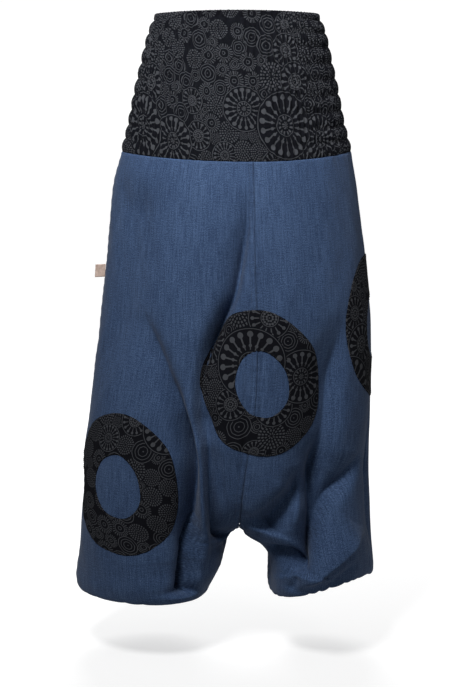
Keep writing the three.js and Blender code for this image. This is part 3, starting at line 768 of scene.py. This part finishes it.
def stitch_shape():
    """A stitch along x as rings of points: a tube whose radius and height over the cloth follow a
    half circle along its length."""
    along = np.sin(np.linspace(0, np.pi / 2, 4))
    along = np.concatenate([-along[:0:-1], along])[:, None]
    turn = np.linspace(0, 2 * np.pi, THREAD_SIDES, endpoint=False)
    thick = np.sqrt(1 - (STITCH_TAPER * along) ** 2)
    return np.stack(np.broadcast_arrays(
        along * STITCH_LENGTH / 2,
        THREAD_RADIUS * thick * np.cos(turn),
        THREAD_RADIUS * (thick * (np.sin(turn) + STITCH_RISE) - STITCH_SINK)), -1)


def sampled(values, length, at):
    """Vectors given at some lengths along a line, at others."""
    return np.stack([np.interp(at, length, part) for part in values.T], -1)


def stitched(name, lines, material):
    """Stitches along lines of points with normals, joined as one mesh, each closed by a small flat
    face at both ends."""
    shape = stitch_shape()
    rings, sides = shape.shape[:2]
    index = np.arange(rings * sides).reshape(rings, sides)
    beside = np.roll(index, -1, axis=1)
    quads = np.stack([index[:-1], beside[:-1], beside[1:], index[1:]], -1).reshape(-1, 4)
    ends = np.stack([index[0, ::-1], index[-1]])
    places = []
    for points, normals in lines:
        length = run_length(points, 0)
        at = np.arange(STITCH_PITCH, length[-1] - STITCH_PITCH, STITCH_PITCH)
        middle, up = sampled(points, length, at), sampled(normals, length, at)
        ahead = unit(sampled(np.gradient(points, length, axis=0), length, at))
        aside = unit(np.cross(up, ahead))
        axes = np.stack([ahead, aside, np.cross(ahead, aside)], 1)
        places.append(middle[:, None, :] + np.einsum("vk,skx->svx", shape.reshape(-1, 3), axes))
    verts = np.concatenate(places)
    first = np.arange(len(verts))[:, None, None] * rings * sides
    mesh = bpy.data.meshes.new(name)
    mesh.from_pydata(verts.reshape(-1, 3) / 1000, [],
                     (quads + first).reshape(-1, 4).tolist() + (ends + first).reshape(-1, sides).tolist())
    mesh.materials.append(material)
    mesh.polygons.foreach_set("use_smooth", np.ones(len(mesh.polygons), bool))
    piece = bpy.data.objects.new(name, mesh)
    bpy.context.scene.collection.objects.link(piece)
    return piece


def thread(name, colour):
    """Twisted sewing thread: a fine mottle over its colour."""
    material, tree, shader = new_cloth(name, 0.6, 0.1)
    place = tree.nodes.new("ShaderNodeTexCoord")
    noise = tree.nodes.new("ShaderNodeTexNoise")
    noise.inputs["Scale"].default_value = 1500
    tree.links.new(place.outputs["Object"], noise.inputs["Vector"])
    shaded = tuple(c * 0.7 for c in colour)
    ramp(tree, Field(tree, noise.outputs["Fac"]), [(0.3, shaded), (0.7, colour)],
         shader.inputs["Base Color"])
    return material


blue_thread = thread("blue_thread", THREAD_BLUE)
for face, lines in seam_lines.items():
    piece = stitched(f"topstitching_{face}", lines, blue_thread)
    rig.ride(piece, "root")
    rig.slot(piece, "denim")

# The ankle casings
# Each leg's hem is turned up over an elastic and stitched down, which gathers it into a short
# ribbed tube round the ankle.
CASING_HEIGHT = 22
CASING_GATHERS = 34
CASING_CUT = (0.3, 0.022)         # metres, round the tube and down it
CASING_THICKNESS = 1.6
CASING_INSET = 1.1                # from the ankle circle to the mean outer face
CASING_EDGE = 0.8                 # how far both edges are rounded in


def casing(name, side):
    """A ribbed tube: angle round it and height down it, with unevenly spaced gathers and a slow
    wave round it, and both edges rounded in by a fourth power."""
    angle = np.linspace(0, 2 * np.pi, 12 * CASING_GATHERS, endpoint=False)[None, :]
    down = np.linspace(0, 1, 15)[:, None]
    rib = 0.5 * np.cos(CASING_GATHERS * angle + 1.5 * np.sin(3 * angle)) + 0.25 * np.cos(9 * angle)
    radius = ANKLE_RADIUS - CASING_INSET + rib - CASING_EDGE * np.abs(2 * down - 1) ** 4
    x, y, z = ANKLES[side]
    p = np.stack(np.broadcast_arrays(x + radius * np.cos(angle), y + radius * np.sin(angle),
                                     z - CASING_HEIGHT * down), -1)
    outward = p - (x, y, z)
    uv = np.stack(np.broadcast_arrays(angle * ANKLE_RADIUS, -CASING_HEIGHT * down), -1) / 1000
    piece = sheet_mesh(name, p, uv, outward, CASING_THICKNESS, closed=True)
    piece.data.materials.append(denim_outside)
    return piece


for half, side in HALVES.items():
    piece = casing(f"ankle_casing_{half}", side)
    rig.ride(piece, "root")
    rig.replaces(piece, f"casing_{half}")
    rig.slot(piece, "denim")
    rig.sheet(piece, flat=CASING_CUT, held="gathered", rests_on=[f"denim_front_{half}"])

# The shirred waistband
# A front and a back of black printed cotton, cut much wider than the waist and drawn in by eleven
# rows of elastic thread, so that the cloth puffs between the rows and stands in fine gathers.
PUFFS = 10
GATHERS = 46
BAND_STEPS = (6, 10)              # columns to a gather and rows to a puff
BAND_THICKNESS = 0.5
BAND_SEEDS = {-1: 20, 1: 40}
PUFF_HEIGHT = 2.3                 # of a puff's mean face over the elastic rows
ROW_SINK = 1.4                    # of those rows under the solid's mean face
RIDGE_HEIGHT = 1.4                # of a gather
VALLEY_DEPTH = 3.6                # of the narrow valley between two gathers
FINE_HEIGHT = 0.7                 # of the finer gathers on an elastic row
STRETCHED = (0.4, 60)             # share of the relief lost at the centre front, and its half-width
STRETCHED_PUFFS = (3, 7)          # it sets in between these, counted from the top
GATHER_TUCK = 1.3                 # how much cloth hides in the side of a gather
SQUEEZE = 0.75                    # worn width of the cloth as a share of its flat width, at the back
FRONT_SQUEEZE = 0.68              # the same at the front, off its centre
CENTRE_SQUEEZE = (0.2, 75)        # what the centre front has more, and its half-width
TAKEN_UP = 0.96                   # worn height of the cloth as a share of its flat height


def value_noise(x, y, seed, size=(97, 41)):
    """Random numbers from -1 to 1 on a lattice, joined by S-curves."""
    lattice = np.random.default_rng(seed).uniform(-1, 1, size)
    i, j = np.floor(x).astype(int), np.floor(y).astype(int)
    s, t = smoothstep(x - i, 0, 1), smoothstep(y - j, 0, 1)
    here, right = i % size[0], (i + 1) % size[0]
    above, below = j % size[1], (j + 1) % size[1]
    upper = lattice[here, above] * (1 - s) + lattice[right, above] * s
    lower = lattice[here, below] * (1 - s) + lattice[right, below] * s
    return upper * (1 - t) + lower * t


def band_grid(facing):
    """side, around and row over a band, from the right side seam to the left."""
    s = np.linspace(-1, 1, GATHERS * BAND_STEPS[0] + 1)
    side = np.where(s < 0, -1.0, 1.0)
    seam = np.where(s < 0, SIDE_SEAMS[-1], SIDE_SEAMS[1])
    around = seam * np.abs(s) if facing < 0 else 2 - (2 - seam) * np.abs(s)
    row = np.linspace(0, SEAM_ROW, PUFFS * BAND_STEPS[1] + 1)[:, None]
    return s[None, :], side[None, :], around[None, :], row


def band_relief(s, row, x, facing):
    """Puffs as powers of half sine waves between the elastic rows, ribbed by gathers that wander
    and differ in height, with narrow valleys between them and finer gathers on the rows. Also
    returns how far each gather draws the cloth aside, from -1 to 1."""
    seed = BAND_SEEDS[facing]
    down = row / SEAM_ROW * PUFFS
    puff = np.abs(np.sin(np.pi * down)) ** 0.75
    place = (s + 1) / 2 * GATHERS
    drift = 0.8 * value_noise(place / 4, down / 1.8, seed)
    ridge = np.cos(2 * np.pi * (place + drift))
    height = 0.95 + 0.5 * value_noise(place, np.floor(down) + 0.5, seed + 1)
    fine = np.cos(4 * np.pi * (place + drift) + 1)
    lost, reach = STRETCHED
    slack = 1 - lost * closeness(x, reach) * smoothstep(down, *STRETCHED_PUFFS) * (facing < 0)
    valley = 1 - np.abs(np.cos(np.pi * (place + drift))) ** 0.6
    ribs = RIDGE_HEIGHT * height * ridge - VALLEY_DEPTH * height * valley
    relief = puff * (PUFF_HEIGHT + ribs) - ROW_SINK + FINE_HEIGHT * fine * (1 - puff)
    return relief * slack, np.sin(2 * np.pi * (place + drift)) * (0.4 + 0.6 * puff) * slack


def squeeze(x, facing):
    """How much narrower the gathered cloth is than the flat cloth."""
    if facing > 0:
        return np.full(x.shape, SQUEEZE)
    more, reach = CENTRE_SQUEEZE
    return FRONT_SQUEEZE + more * closeness(x, reach)


# The print is worked out once for the band and the rings: discs of several sizes laid over a square
# repeat, the larger ones on top. Each is its radius and its kind, which is 0 for a wheel, 1 for a
# sun, 2 for a rosette, 3 for a set of rings and 4 for a daisy.
REPEAT = 310
DISCS = [
    (57, 0), (44, 0), (34, 1), (31, 1), (38, 0), (29, 1), (24, 2), (27, 1), (22, 2), (20, 3), (25, 1),
    (20, 2), (17, 4), (19, 3), (19, 2), (18, 3), (16, 4), (17, 3), (20, 1), (16, 4), (22, 1), (18, 2),
    (16, 3), (15, 4), (16, 3), (16, 2), (15, 4), (17, 2), (15, 2), (23, 0), (18, 2), (16, 3), (14, 4),
]
FILLERS = [(None, 3), (None, 4), (None, 2)] * 20    # as large as their place allows
FILLER_RADII = (9, 16)
DISC_OVERLAP = 0.86               # how near two centres may lie, as a share of the two radii
PLACES_TRIED = 4000


def pack_discs():
    """A seeded layout: each disc takes the place, of many tried, that lies closest to the discs
    before it and still shows nearly whole, and small discs then fill what is left."""
    rng = np.random.default_rng(11)
    placed = np.zeros((0, 4))

    def clearance(places):
        """How far each place lies from the discs before, over the edge of the repeat too."""
        gap = np.abs(places[:, None, :] - placed[None, :, :2])
        gap = np.minimum(gap, REPEAT - gap)
        return (np.linalg.norm(gap, axis=-1) - DISC_OVERLAP * placed[None, :, 2]).min(1, initial=REPEAT)

    for radius, kind in DISCS + FILLERS:
        places = rng.uniform(0, REPEAT, (PLACES_TRIED, 2))
        room = clearance(places)
        if radius is None:
            best = room.argmax()
            if room[best] < FILLER_RADII[0]:
                break
            radius = min(room[best], FILLER_RADII[1])
        else:
            free = np.where(room >= DISC_OVERLAP * radius)[0]
            if not len(free):
                continue
            best = free[room[free].argmin()]
        placed = np.vstack([placed, [*places[best], radius, kind]])
    return placed


discs = pack_discs()
EDGE_OF_MOTIF = 1.2               # bare cloth round a disc that lies on another


def mark_print(piece, shift):
    """Gives each face the first disc that its place on the flat cloth lies in, or else the nearest:
    its centre and radius in metres as one attribute, and its kind as another. shift slides the
    repeat over the cloth."""
    mesh = piece.data
    corners = np.zeros(len(mesh.loops) * 2, np.float32)
    mesh.uv_layers["cloth"].data.foreach_get("uv", corners)
    corners = corners.reshape(-1, 2) + np.array(shift, np.float32) / 1000
    mesh.uv_layers["cloth"].data.foreach_set("uv", corners.ravel())
    middles = corners.reshape(-1, 4, 2).mean(1) * 1000
    gap = middles[:, None, :] - discs[None, :, :2]
    gap -= REPEAT * np.round(gap / REPEAT)
    outside = np.linalg.norm(gap, axis=-1) - discs[None, :, 2] - EDGE_OF_MOTIF
    nearest = np.where((outside < 0).any(1), (outside < 0).argmax(1), outside.argmin(1))
    centre = middles - np.take_along_axis(gap, nearest[:, None, None], 1)[:, 0]
    motif = np.column_stack([centre, discs[nearest, 2]]) / 1000
    attribute = mesh.attributes.new("motif", "FLOAT_VECTOR", "FACE")
    attribute.data.foreach_set("vector", motif.astype(np.float32).ravel())
    attribute = mesh.attributes.new("motif_kind", "FLOAT", "FACE")
    attribute.data.foreach_set("value", discs[nearest, 3].astype(np.float32))


COTTON_BLACK = (0.0052, 0.0058, 0.0088)
PRINT_GREY = (0.055, 0.058, 0.066)
LINE = 0.00055                    # half the width of a printed line, in metres
PRINT_BLUR = 0.0004               # of its edges, in metres


def printed_cotton():
    """Black cotton with a grey print. Every motif is drawn from the distance and angle to its
    disc's centre: lines are narrow bands of distance, and spokes and balls repeat with the angle."""
    material, tree, shader = new_cloth("printed_cotton", 0.95, 0.0)
    shader.inputs["Specular IOR Level"].default_value = 0.1
    nodes, links = tree.nodes, tree.links
    uv = nodes.new("ShaderNodeUVMap")
    uv.uv_map = "cloth"
    motif = nodes.new("ShaderNodeAttribute")
    motif.attribute_name = "motif"
    kind_node = nodes.new("ShaderNodeAttribute")
    kind_node.attribute_name = "motif_kind"
    kind = Field(tree, kind_node.outputs["Fac"])
    split_uv, split_motif = nodes.new("ShaderNodeSeparateXYZ"), nodes.new("ShaderNodeSeparateXYZ")
    links.new(uv.outputs[0], split_uv.inputs[0])
    links.new(motif.outputs["Vector"], split_motif.inputs[0])
    x = Field(tree, split_uv.outputs[0]) - Field(tree, split_motif.outputs[0])
    y = Field(tree, split_uv.outputs[1]) - Field(tree, split_motif.outputs[1])
    radius = Field(tree, split_motif.outputs[2])
    distance = (x * x + y * y).math("SQRT")
    angle = y.math("ARCTAN2", x)

    def ring(at, wobble=0.0):
        """A line round the disc at a share of its radius."""
        middle = radius * at
        if wobble:
            middle = middle * ((angle * 8).math("COSINE") * wobble + 1)
        return (distance - middle).math("ABSOLUTE").under(LINE, PRINT_BLUR)

    def aside(count):
        """Distance from the nearest of count rays."""
        turn = (angle * (count / (2 * math.pi))).math("FRACT") - 0.5
        return turn * distance * (2 * math.pi / count)

    def spokes(count, start, end, share):
        """Rays between two shares of the radius that widen outwards: share of the gap is filled."""
        middle, reach = radius * ((start + end) / 2), radius * ((end - start) / 2)
        within = (distance - middle).math("ABSOLUTE").under(reach, PRINT_BLUR)
        width = distance * (share * math.pi / count)
        return within * aside(count).math("ABSOLUTE").under(width, PRINT_BLUR)

    def balls(count, at, size):
        """Dots in a circle: at and size are shares of the radius."""
        away = distance - radius * at
        side = aside(count)
        return (side * side + away * away).math("SQRT").under(radius * size, PRINT_BLUR)

    def union(*masks):
        """The largest of some masks."""
        total = masks[0]
        for mask in masks[1:]:
            total = total.math("MAXIMUM", mask)
        return total

    wheel = union(ring(0.97), ring(0.31), spokes(18, 0.38, 0.84, 0.2), balls(18, 0.82, 0.085),
                  balls(18, 0.5, 0.045), spokes(12, 0.17, 0.27, 0.45), spokes(8, 0.0, 0.11, 0.5))
    sun = union(ring(0.97), ring(0.4), spokes(15, 0.48, 0.8, 0.22), balls(15, 0.8, 0.085),
                balls(14, 0.3, 0.055), balls(8, 0.15, 0.05), balls(1, 0.0, 0.05))
    rosette = union(spokes(24, 0.82, 1.0, 0.5), spokes(18, 0.58, 0.74, 0.5), spokes(12, 0.34, 0.5, 0.45),
                    spokes(7, 0.1, 0.26, 0.45))
    rings = union(ring(0.97, 0.012), ring(0.69, 0.015), ring(0.41, 0.02), balls(1, 0.0, 0.1))
    daisy = union(spokes(22, 0.62, 0.98, 0.4), ring(0.52), ring(0.18))
    ink = None
    for number, drawing in enumerate((wheel, sun, rosette, rings, daisy)):
        chosen = drawing * (kind - float(number)).math("ABSOLUTE").under(0.5, 0.1)
        ink = chosen if ink is None else ink + chosen
    worn = uv_noise(tree, 700, 700) * 0.7 + uv_noise(tree, 40, 40) * 0.5
    ink = ink * (worn + 0.35).math("MINIMUM", 1.0)
    weave = uv_noise(tree, 1400, 260, 1)
    shaded = tuple(c * 0.55 for c in COTTON_BLACK)
    ramp(tree, weave * 0.35 + ink, [(0.0, shaded), (0.28, COTTON_BLACK), (1.0, PRINT_GREY)],
         shader.inputs["Base Color"])
    bumped(tree, shader, weave + uv_noise(tree, 260, 1400, 1), 0.0004)
    return material


cotton = printed_cotton()
BAND_PRINT = {-1: (280, 655), 1: (130, 700)}    # where the repeat lies on the front and the back


def band(name, facing):
    """A band over its grid of gathers, with its print drawn in by the gathers."""
    s, side, around, row = band_grid(facing)
    side, around, row = np.broadcast_arrays(side, around, row)
    flat = smooth_point(side, around, row)
    n = normal_of(smooth_point, side, around, row)
    relief, drawn = band_relief(s, row, flat[..., 0], facing)
    p = flat + n * relief[..., None]
    across = np.linalg.norm(np.diff(flat, axis=1), axis=-1)
    middle_x = (flat[:, 1:, 0] + flat[:, :-1, 0]) / 2
    wide = np.insert(np.cumsum(across / squeeze(middle_x, facing), axis=1), 0, 0, axis=1)
    wide -= wide[:, wide.shape[1] // 2][:, None]
    tall = run_length(flat, 0) / TAKEN_UP
    uv = np.stack([(wide + GATHER_TUCK * drawn) * (-facing), -tall], -1) / 1000
    piece = sheet_mesh(name, p, uv, n, BAND_THICKNESS)
    piece.data.materials.append(cotton)
    mark_print(piece, BAND_PRINT[facing])
    return piece


for face, facing in FACINGS.items():
    piece = band(f"shirred_band_{face}", facing)
    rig.ride(piece, "root")
    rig.replaces(piece, f"waistband_{face}")
    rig.slot(piece, "printed_cotton")
    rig.sheet(piece, held="gathered", **cut_of(piece))

# The ring appliques
# Ovals of the waistband's print with an oval hole, turned under at both edges and stitched flat on
# the finished panels: one over the centre seam, one low on the right leg, one on the left side.
# Each has its node, the half of the garment and the around and row of its centre, half the width
# and height of its outline and of its hole, how far it leans and bows sideways, the panels under
# it, and where the print's repeat lies on it.
RINGS = [
    ("applique_front", 1, 0.025, 10.76, (105, 118), (43, 53), 0.13, 0,
     ["front_right", "front_left"], (60, 120)),
    ("applique_right", -1, 0.555, 13.95, (108, 118), (44, 52), 0.05, 15,
     ["front_right", "back_right"], (210, 30)),
    ("applique_left", 1, 0.95, 9.6, (108, 118), (46, 53), 0.05, 0,
     ["front_left", "back_left"], (140, 250)),
]
RING_STEP = 2.6
RING_THICKNESS = 0.5
RING_LIFT = 1.2
RING_EDGE = 0.7                   # how far its edges are drawn down
RING_EDGE_SHARES = np.array([0, 0.012, 0.03])    # of its width, at which an edge has rows
RING_PUCKER = 0.35
WALK_STEPS = 16
RING_STITCHES = (2, -3)           # the lines of a ring's grid that are sewn, near its two edges
THREAD_BLACK = (0.012, 0.012, 0.014)


def laid_out(side, around, row, across, down):
    """Where flat cloth lies on the garment: from the centre down its column for the distance down,
    then along the section for the distance across, in short steps measured on the cloth."""
    row = np.full(across.shape, float(row))
    around = np.full(across.shape, float(around))
    for _ in range(WALK_STEPS):
        length = np.linalg.norm(cloth_point(side, around, row + SMALL_STEP)
                                - cloth_point(side, around, row - SMALL_STEP), axis=-1)
        row = row + down / WALK_STEPS * 2 * SMALL_STEP / length
    for _ in range(WALK_STEPS):
        length = np.linalg.norm(cloth_point(side, around + SMALL_STEP, row)
                                - cloth_point(side, around - SMALL_STEP, row), axis=-1)
        around = around + across / WALK_STEPS * 2 * SMALL_STEP / length
    return around, row


def ring_applique(name, side, around, row, outer, hole, lean, bow, shift):
    """A polar grid from the hole's edge to the outer edge, whose outline two sine waves make uneven,
    laid out on the cloth and lifted off it, with both edges drawn down and puckered by their
    stitches. Returns the piece and the lines of points and normals that are sewn."""
    turns = round(math.pi * (outer[0] + outer[1]) / RING_STEP)
    angle = np.linspace(0, 2 * np.pi, turns, endpoint=False)[None, :]
    bands = round((outer[0] - hole[0]) / RING_STEP)
    share = np.concatenate([RING_EDGE_SHARES, np.linspace(0, 1, bands)[1:-1],
                            1 - RING_EDGE_SHARES[::-1]])[:, None]
    uneven = 1 + 0.012 * np.sin(3 * angle + around) + 0.008 * np.sin(7 * angle + row)
    wide = (hole[0] + (outer[0] - hole[0]) * share) * uneven
    tall = (hole[1] + (outer[1] - hole[1]) * share) * uneven
    down = tall * np.sin(angle)
    across = wide * np.cos(angle) + lean * down + bow * (down / outer[1]) ** 2
    lay_around, lay_row = laid_out(side, around, row, across, down)
    p = cloth_point(side, lay_around, lay_row)
    n = normal_of(smooth_point, side, lay_around, lay_row)
    edge = np.minimum(share, 1 - share) * (outer[0] - hole[0])
    pucker = RING_PUCKER * np.sin(angle * turns / 6 + 3 * np.sin(5 * angle)) * closeness(edge - 3, 5)
    lift = RING_LIFT - RING_EDGE * closeness(edge, 0.9) + pucker
    p = p + n * lift[..., None]
    uv = np.stack([across, -down], -1) / 1000
    piece = sheet_mesh(name, p, uv, n, RING_THICKNESS, closed=True)
    piece.data.materials.append(cotton)
    mark_print(piece, shift)
    loop = np.arange(turns + 1) % turns
    return piece, [(p[line, loop], n[line, loop]) for line in RING_STITCHES]


black_thread = thread("black_thread", THREAD_BLACK)
for name, side, around, row, outer, hole, lean, bow, under, shift in RINGS:
    piece, lines = ring_applique(f"ring_{name}", side, around, row, outer, hole, lean, bow, shift)
    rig.ride(piece, "root")
    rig.replaces(piece, name)
    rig.slot(piece, "printed_cotton")
    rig.sheet(piece, flat=(2 * outer[0] / 1000, 2 * outer[1] / 1000), held="laid",
             rests_on=[f"denim_{u}" for u in under],
             area=math.pi * (outer[0] * outer[1] - hole[0] * hole[1]) / 1e6)
    stitches = stitched(f"stitches_{name}", lines, black_thread)
    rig.ride(stitches, "root")
    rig.slot(stitches, "printed_cotton")

# The label
# A beige woven ribbon, folded double and caught in the right side seam, so that its fold stands
# out from the seam. It is bare.
LABEL_Z = -418
LABEL_HEIGHT = 21
LABEL_REACH = 17
LABEL_GAP = 0.3                   # from the seam
LABEL_THICKNESS = 0.35
LABEL_FOLD = 0.75                 # radius of its fold
LABEL_CURL = 1.2
LABEL_CUT = (0.035, 0.021)        # metres
RIBBON_DARK = (0.38, 0.27, 0.22)
RIBBON_LIGHT = (0.66, 0.52, 0.45)


def label_ribbon():
    """A ribbon: the path out, round a half circle and back, carried up the height of the label. Its
    fold curls to the back by a half sine wave and hangs down a little."""
    row = np.interp(-LABEL_Z, -SECTIONS["z_side"], np.arange(len(SECTIONS["z_side"])))
    seam = cloth_point(-1, np.array(SIDE_SEAMS[-1]), np.array(row))
    straight = np.linspace(0, LABEL_REACH - LABEL_FOLD, 14)
    turn = np.linspace(-np.pi / 2, np.pi / 2, 9)[1:-1]
    path = np.concatenate([
        np.column_stack([straight, 0 * straight - LABEL_FOLD]),
        np.column_stack([straight[-1] + LABEL_FOLD * np.cos(turn), LABEL_FOLD * np.sin(turn)]),
        np.column_stack([straight[::-1], 0 * straight + LABEL_FOLD]),
    ])
    out = path[None, :, 0]
    up = np.linspace(-0.5, 0.5, 17)[:, None]
    curl = LABEL_CURL * (out / LABEL_REACH) ** 2 * np.sin(np.pi * (up + 0.5))
    x = seam[0] - LABEL_GAP - out + 0.06 * LABEL_HEIGHT * up
    y = seam[1] + path[None, :, 1] + curl
    z = seam[2] + LABEL_HEIGHT * up - 0.05 * out
    p = np.stack(np.broadcast_arrays(x, y, z), -1)
    uv = np.stack(np.broadcast_arrays(run_length(path, 0), LABEL_HEIGHT * up), -1) / 1000
    centre = np.array([seam[0] - LABEL_REACH / 2, seam[1], seam[2]])
    outward = (p - centre) * (0.05, 1, 0.05)
    return sheet_mesh("label_ribbon", p, uv, outward, LABEL_THICKNESS)


def ribbon_cloth():
    """Matt beige ribbon with fine threads across it and a slight mottle."""
    material, tree, shader = new_cloth("label_ribbon", 0.75, 0.1)
    tone = uv_noise(tree, 1500, 120) * 0.5 + uv_noise(tree, 200, 200) * 0.5
    ramp(tree, tone, [(0.3, RIBBON_DARK), (0.7, RIBBON_LIGHT)], shader.inputs["Base Color"])
    bumped(tree, shader, tone, 0.0003)
    return material


label = label_ribbon()
label.data.materials.append(ribbon_cloth())
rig.ride(label, "root")
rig.replaces(label, "label")
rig.slot(label, "label_ribbon")
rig.sheet(label, flat=LABEL_CUT, held="folded", rests_on=["denim_front_right"])

# The studio
# A plain white floor a little below the hems and a white room, which the camera sees brighter than
# they light the cloth, a soft lamp high in front, a weak one to its right, a large one behind, and
# the camera. Sizes are in metres here.
FLOOR_Z = -1.05
FLOOR_REACH = 20
FLOOR_WHITE = 0.5
FLOOR_GLOW = (0.64, 0.95)         # near the garment, and from FLOOR_FAR on
FLOOR_FAR = 3.0
FLOOR_BLEND = 0.66 * FLOOR_FAR
floor_mesh = bpy.data.meshes.new("floor")
corners = [(x * FLOOR_REACH, y * FLOOR_REACH, FLOOR_Z) for x, y in ((-1, -1), (1, -1), (1, 1), (-1, 1))]
floor_mesh.from_pydata(corners, [], [(0, 1, 2, 3)])
floor = bpy.data.objects.new("floor", floor_mesh)
bpy.context.scene.collection.objects.link(floor)
pale = bpy.data.materials.new("pale_floor")
pale.use_nodes = True
pale_shader = pale.node_tree.nodes["Principled BSDF"]
pale_shader.inputs["Base Color"].default_value = (FLOOR_WHITE, FLOOR_WHITE, FLOOR_WHITE, 1)
pale_shader.inputs["Emission Color"].default_value = (1, 1, 1, 1)
pale_nodes = pale.node_tree.nodes
away = pale_nodes.new("ShaderNodeVectorMath")
away.operation = "LENGTH"
place = pale_nodes.new("ShaderNodeTexCoord")
pale.node_tree.links.new(place.outputs["Object"], away.inputs[0])
near = Field(pale.node_tree, away.outputs["Value"]).under(FLOOR_BLEND, FLOOR_BLEND)
seen = Field(pale.node_tree, pale_nodes.new("ShaderNodeLightPath").outputs["Is Camera Ray"])
glow = seen * (near * (FLOOR_GLOW[0] - FLOOR_GLOW[1]) + FLOOR_GLOW[1])
pale.node_tree.links.new(glow.socket, pale_shader.inputs["Emission Strength"])
pale_shader.inputs["Roughness"].default_value = 0.9
floor_mesh.materials.append(pale)
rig.stage(floor)

WALL_WHITE = 1.05                 # as the camera sees the wall
ROOM_WHITE = 0.13                 # as it lights the cloth
world = bpy.data.worlds.new("studio")
world.use_nodes = True
tree = world.node_tree
seen = Field(tree, tree.nodes.new("ShaderNodeLightPath").outputs["Is Camera Ray"])
strength = seen * (WALL_WHITE - ROOM_WHITE) + ROOM_WHITE
tree.links.new(strength.socket, tree.nodes["Background"].inputs["Strength"])
tree.nodes["Background"].inputs["Color"].default_value = (1, 1, 1, 1)
bpy.context.scene.world = world


def soft_lamp(name, place, target, size, watts, spread=180):
    """A square lamp of that size in metres at a place, turned to face a target. A spread below 180
    degrees keeps its light nearer to that direction."""
    light = bpy.data.lights.new(name, "AREA")
    light.size = size
    light.energy = watts
    light.spread = math.radians(spread)
    lamp = bpy.data.objects.new(name, light)
    lamp.location = place
    away = Vector(place) - Vector(target)
    lamp.rotation_euler = away.to_track_quat("Z", "Y").to_euler()
    bpy.context.scene.collection.objects.link(lamp)


soft_lamp("key", (-0.45, -1.2, 0.95), (0, 0, -0.05), 0.5, 10.5, spread=90)
soft_lamp("fill", (1.2, -1.0, 0.9), (0.1, 0, 0.1), 0.8, 1.2, spread=60)
soft_lamp("back", (-0.1, 1.9, 0.9), (0, 0, -0.4), 1.2, 42)

CAMERA_X = -0.0124
CAMERA_Z = -0.112
CAMERA_DISTANCE = 3.0
CAMERA_TILT = 8.10                # degrees below level
LENS = 96.24                      # for a 36 mm tall sensor
camera_data = bpy.data.cameras.new("camera")
camera_data.sensor_fit = "VERTICAL"
camera_data.sensor_height = 36
camera_data.lens = LENS
camera = bpy.data.objects.new("camera", camera_data)
camera.location = (CAMERA_X, -CAMERA_DISTANCE, CAMERA_Z)
camera.rotation_euler = (math.radians(90 - CAMERA_TILT), 0, 0)
bpy.context.scene.collection.objects.link(camera)
bpy.context.scene.camera = camera
bpy.context.scene.view_settings.view_transform = "Standard"

visual_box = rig.bounds()
with open("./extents.json", "w") as out:
    json.dump({"cad": [list(corner) for corner in cad_box],
               "visual": [list(corner) for corner in visual_box]}, out)
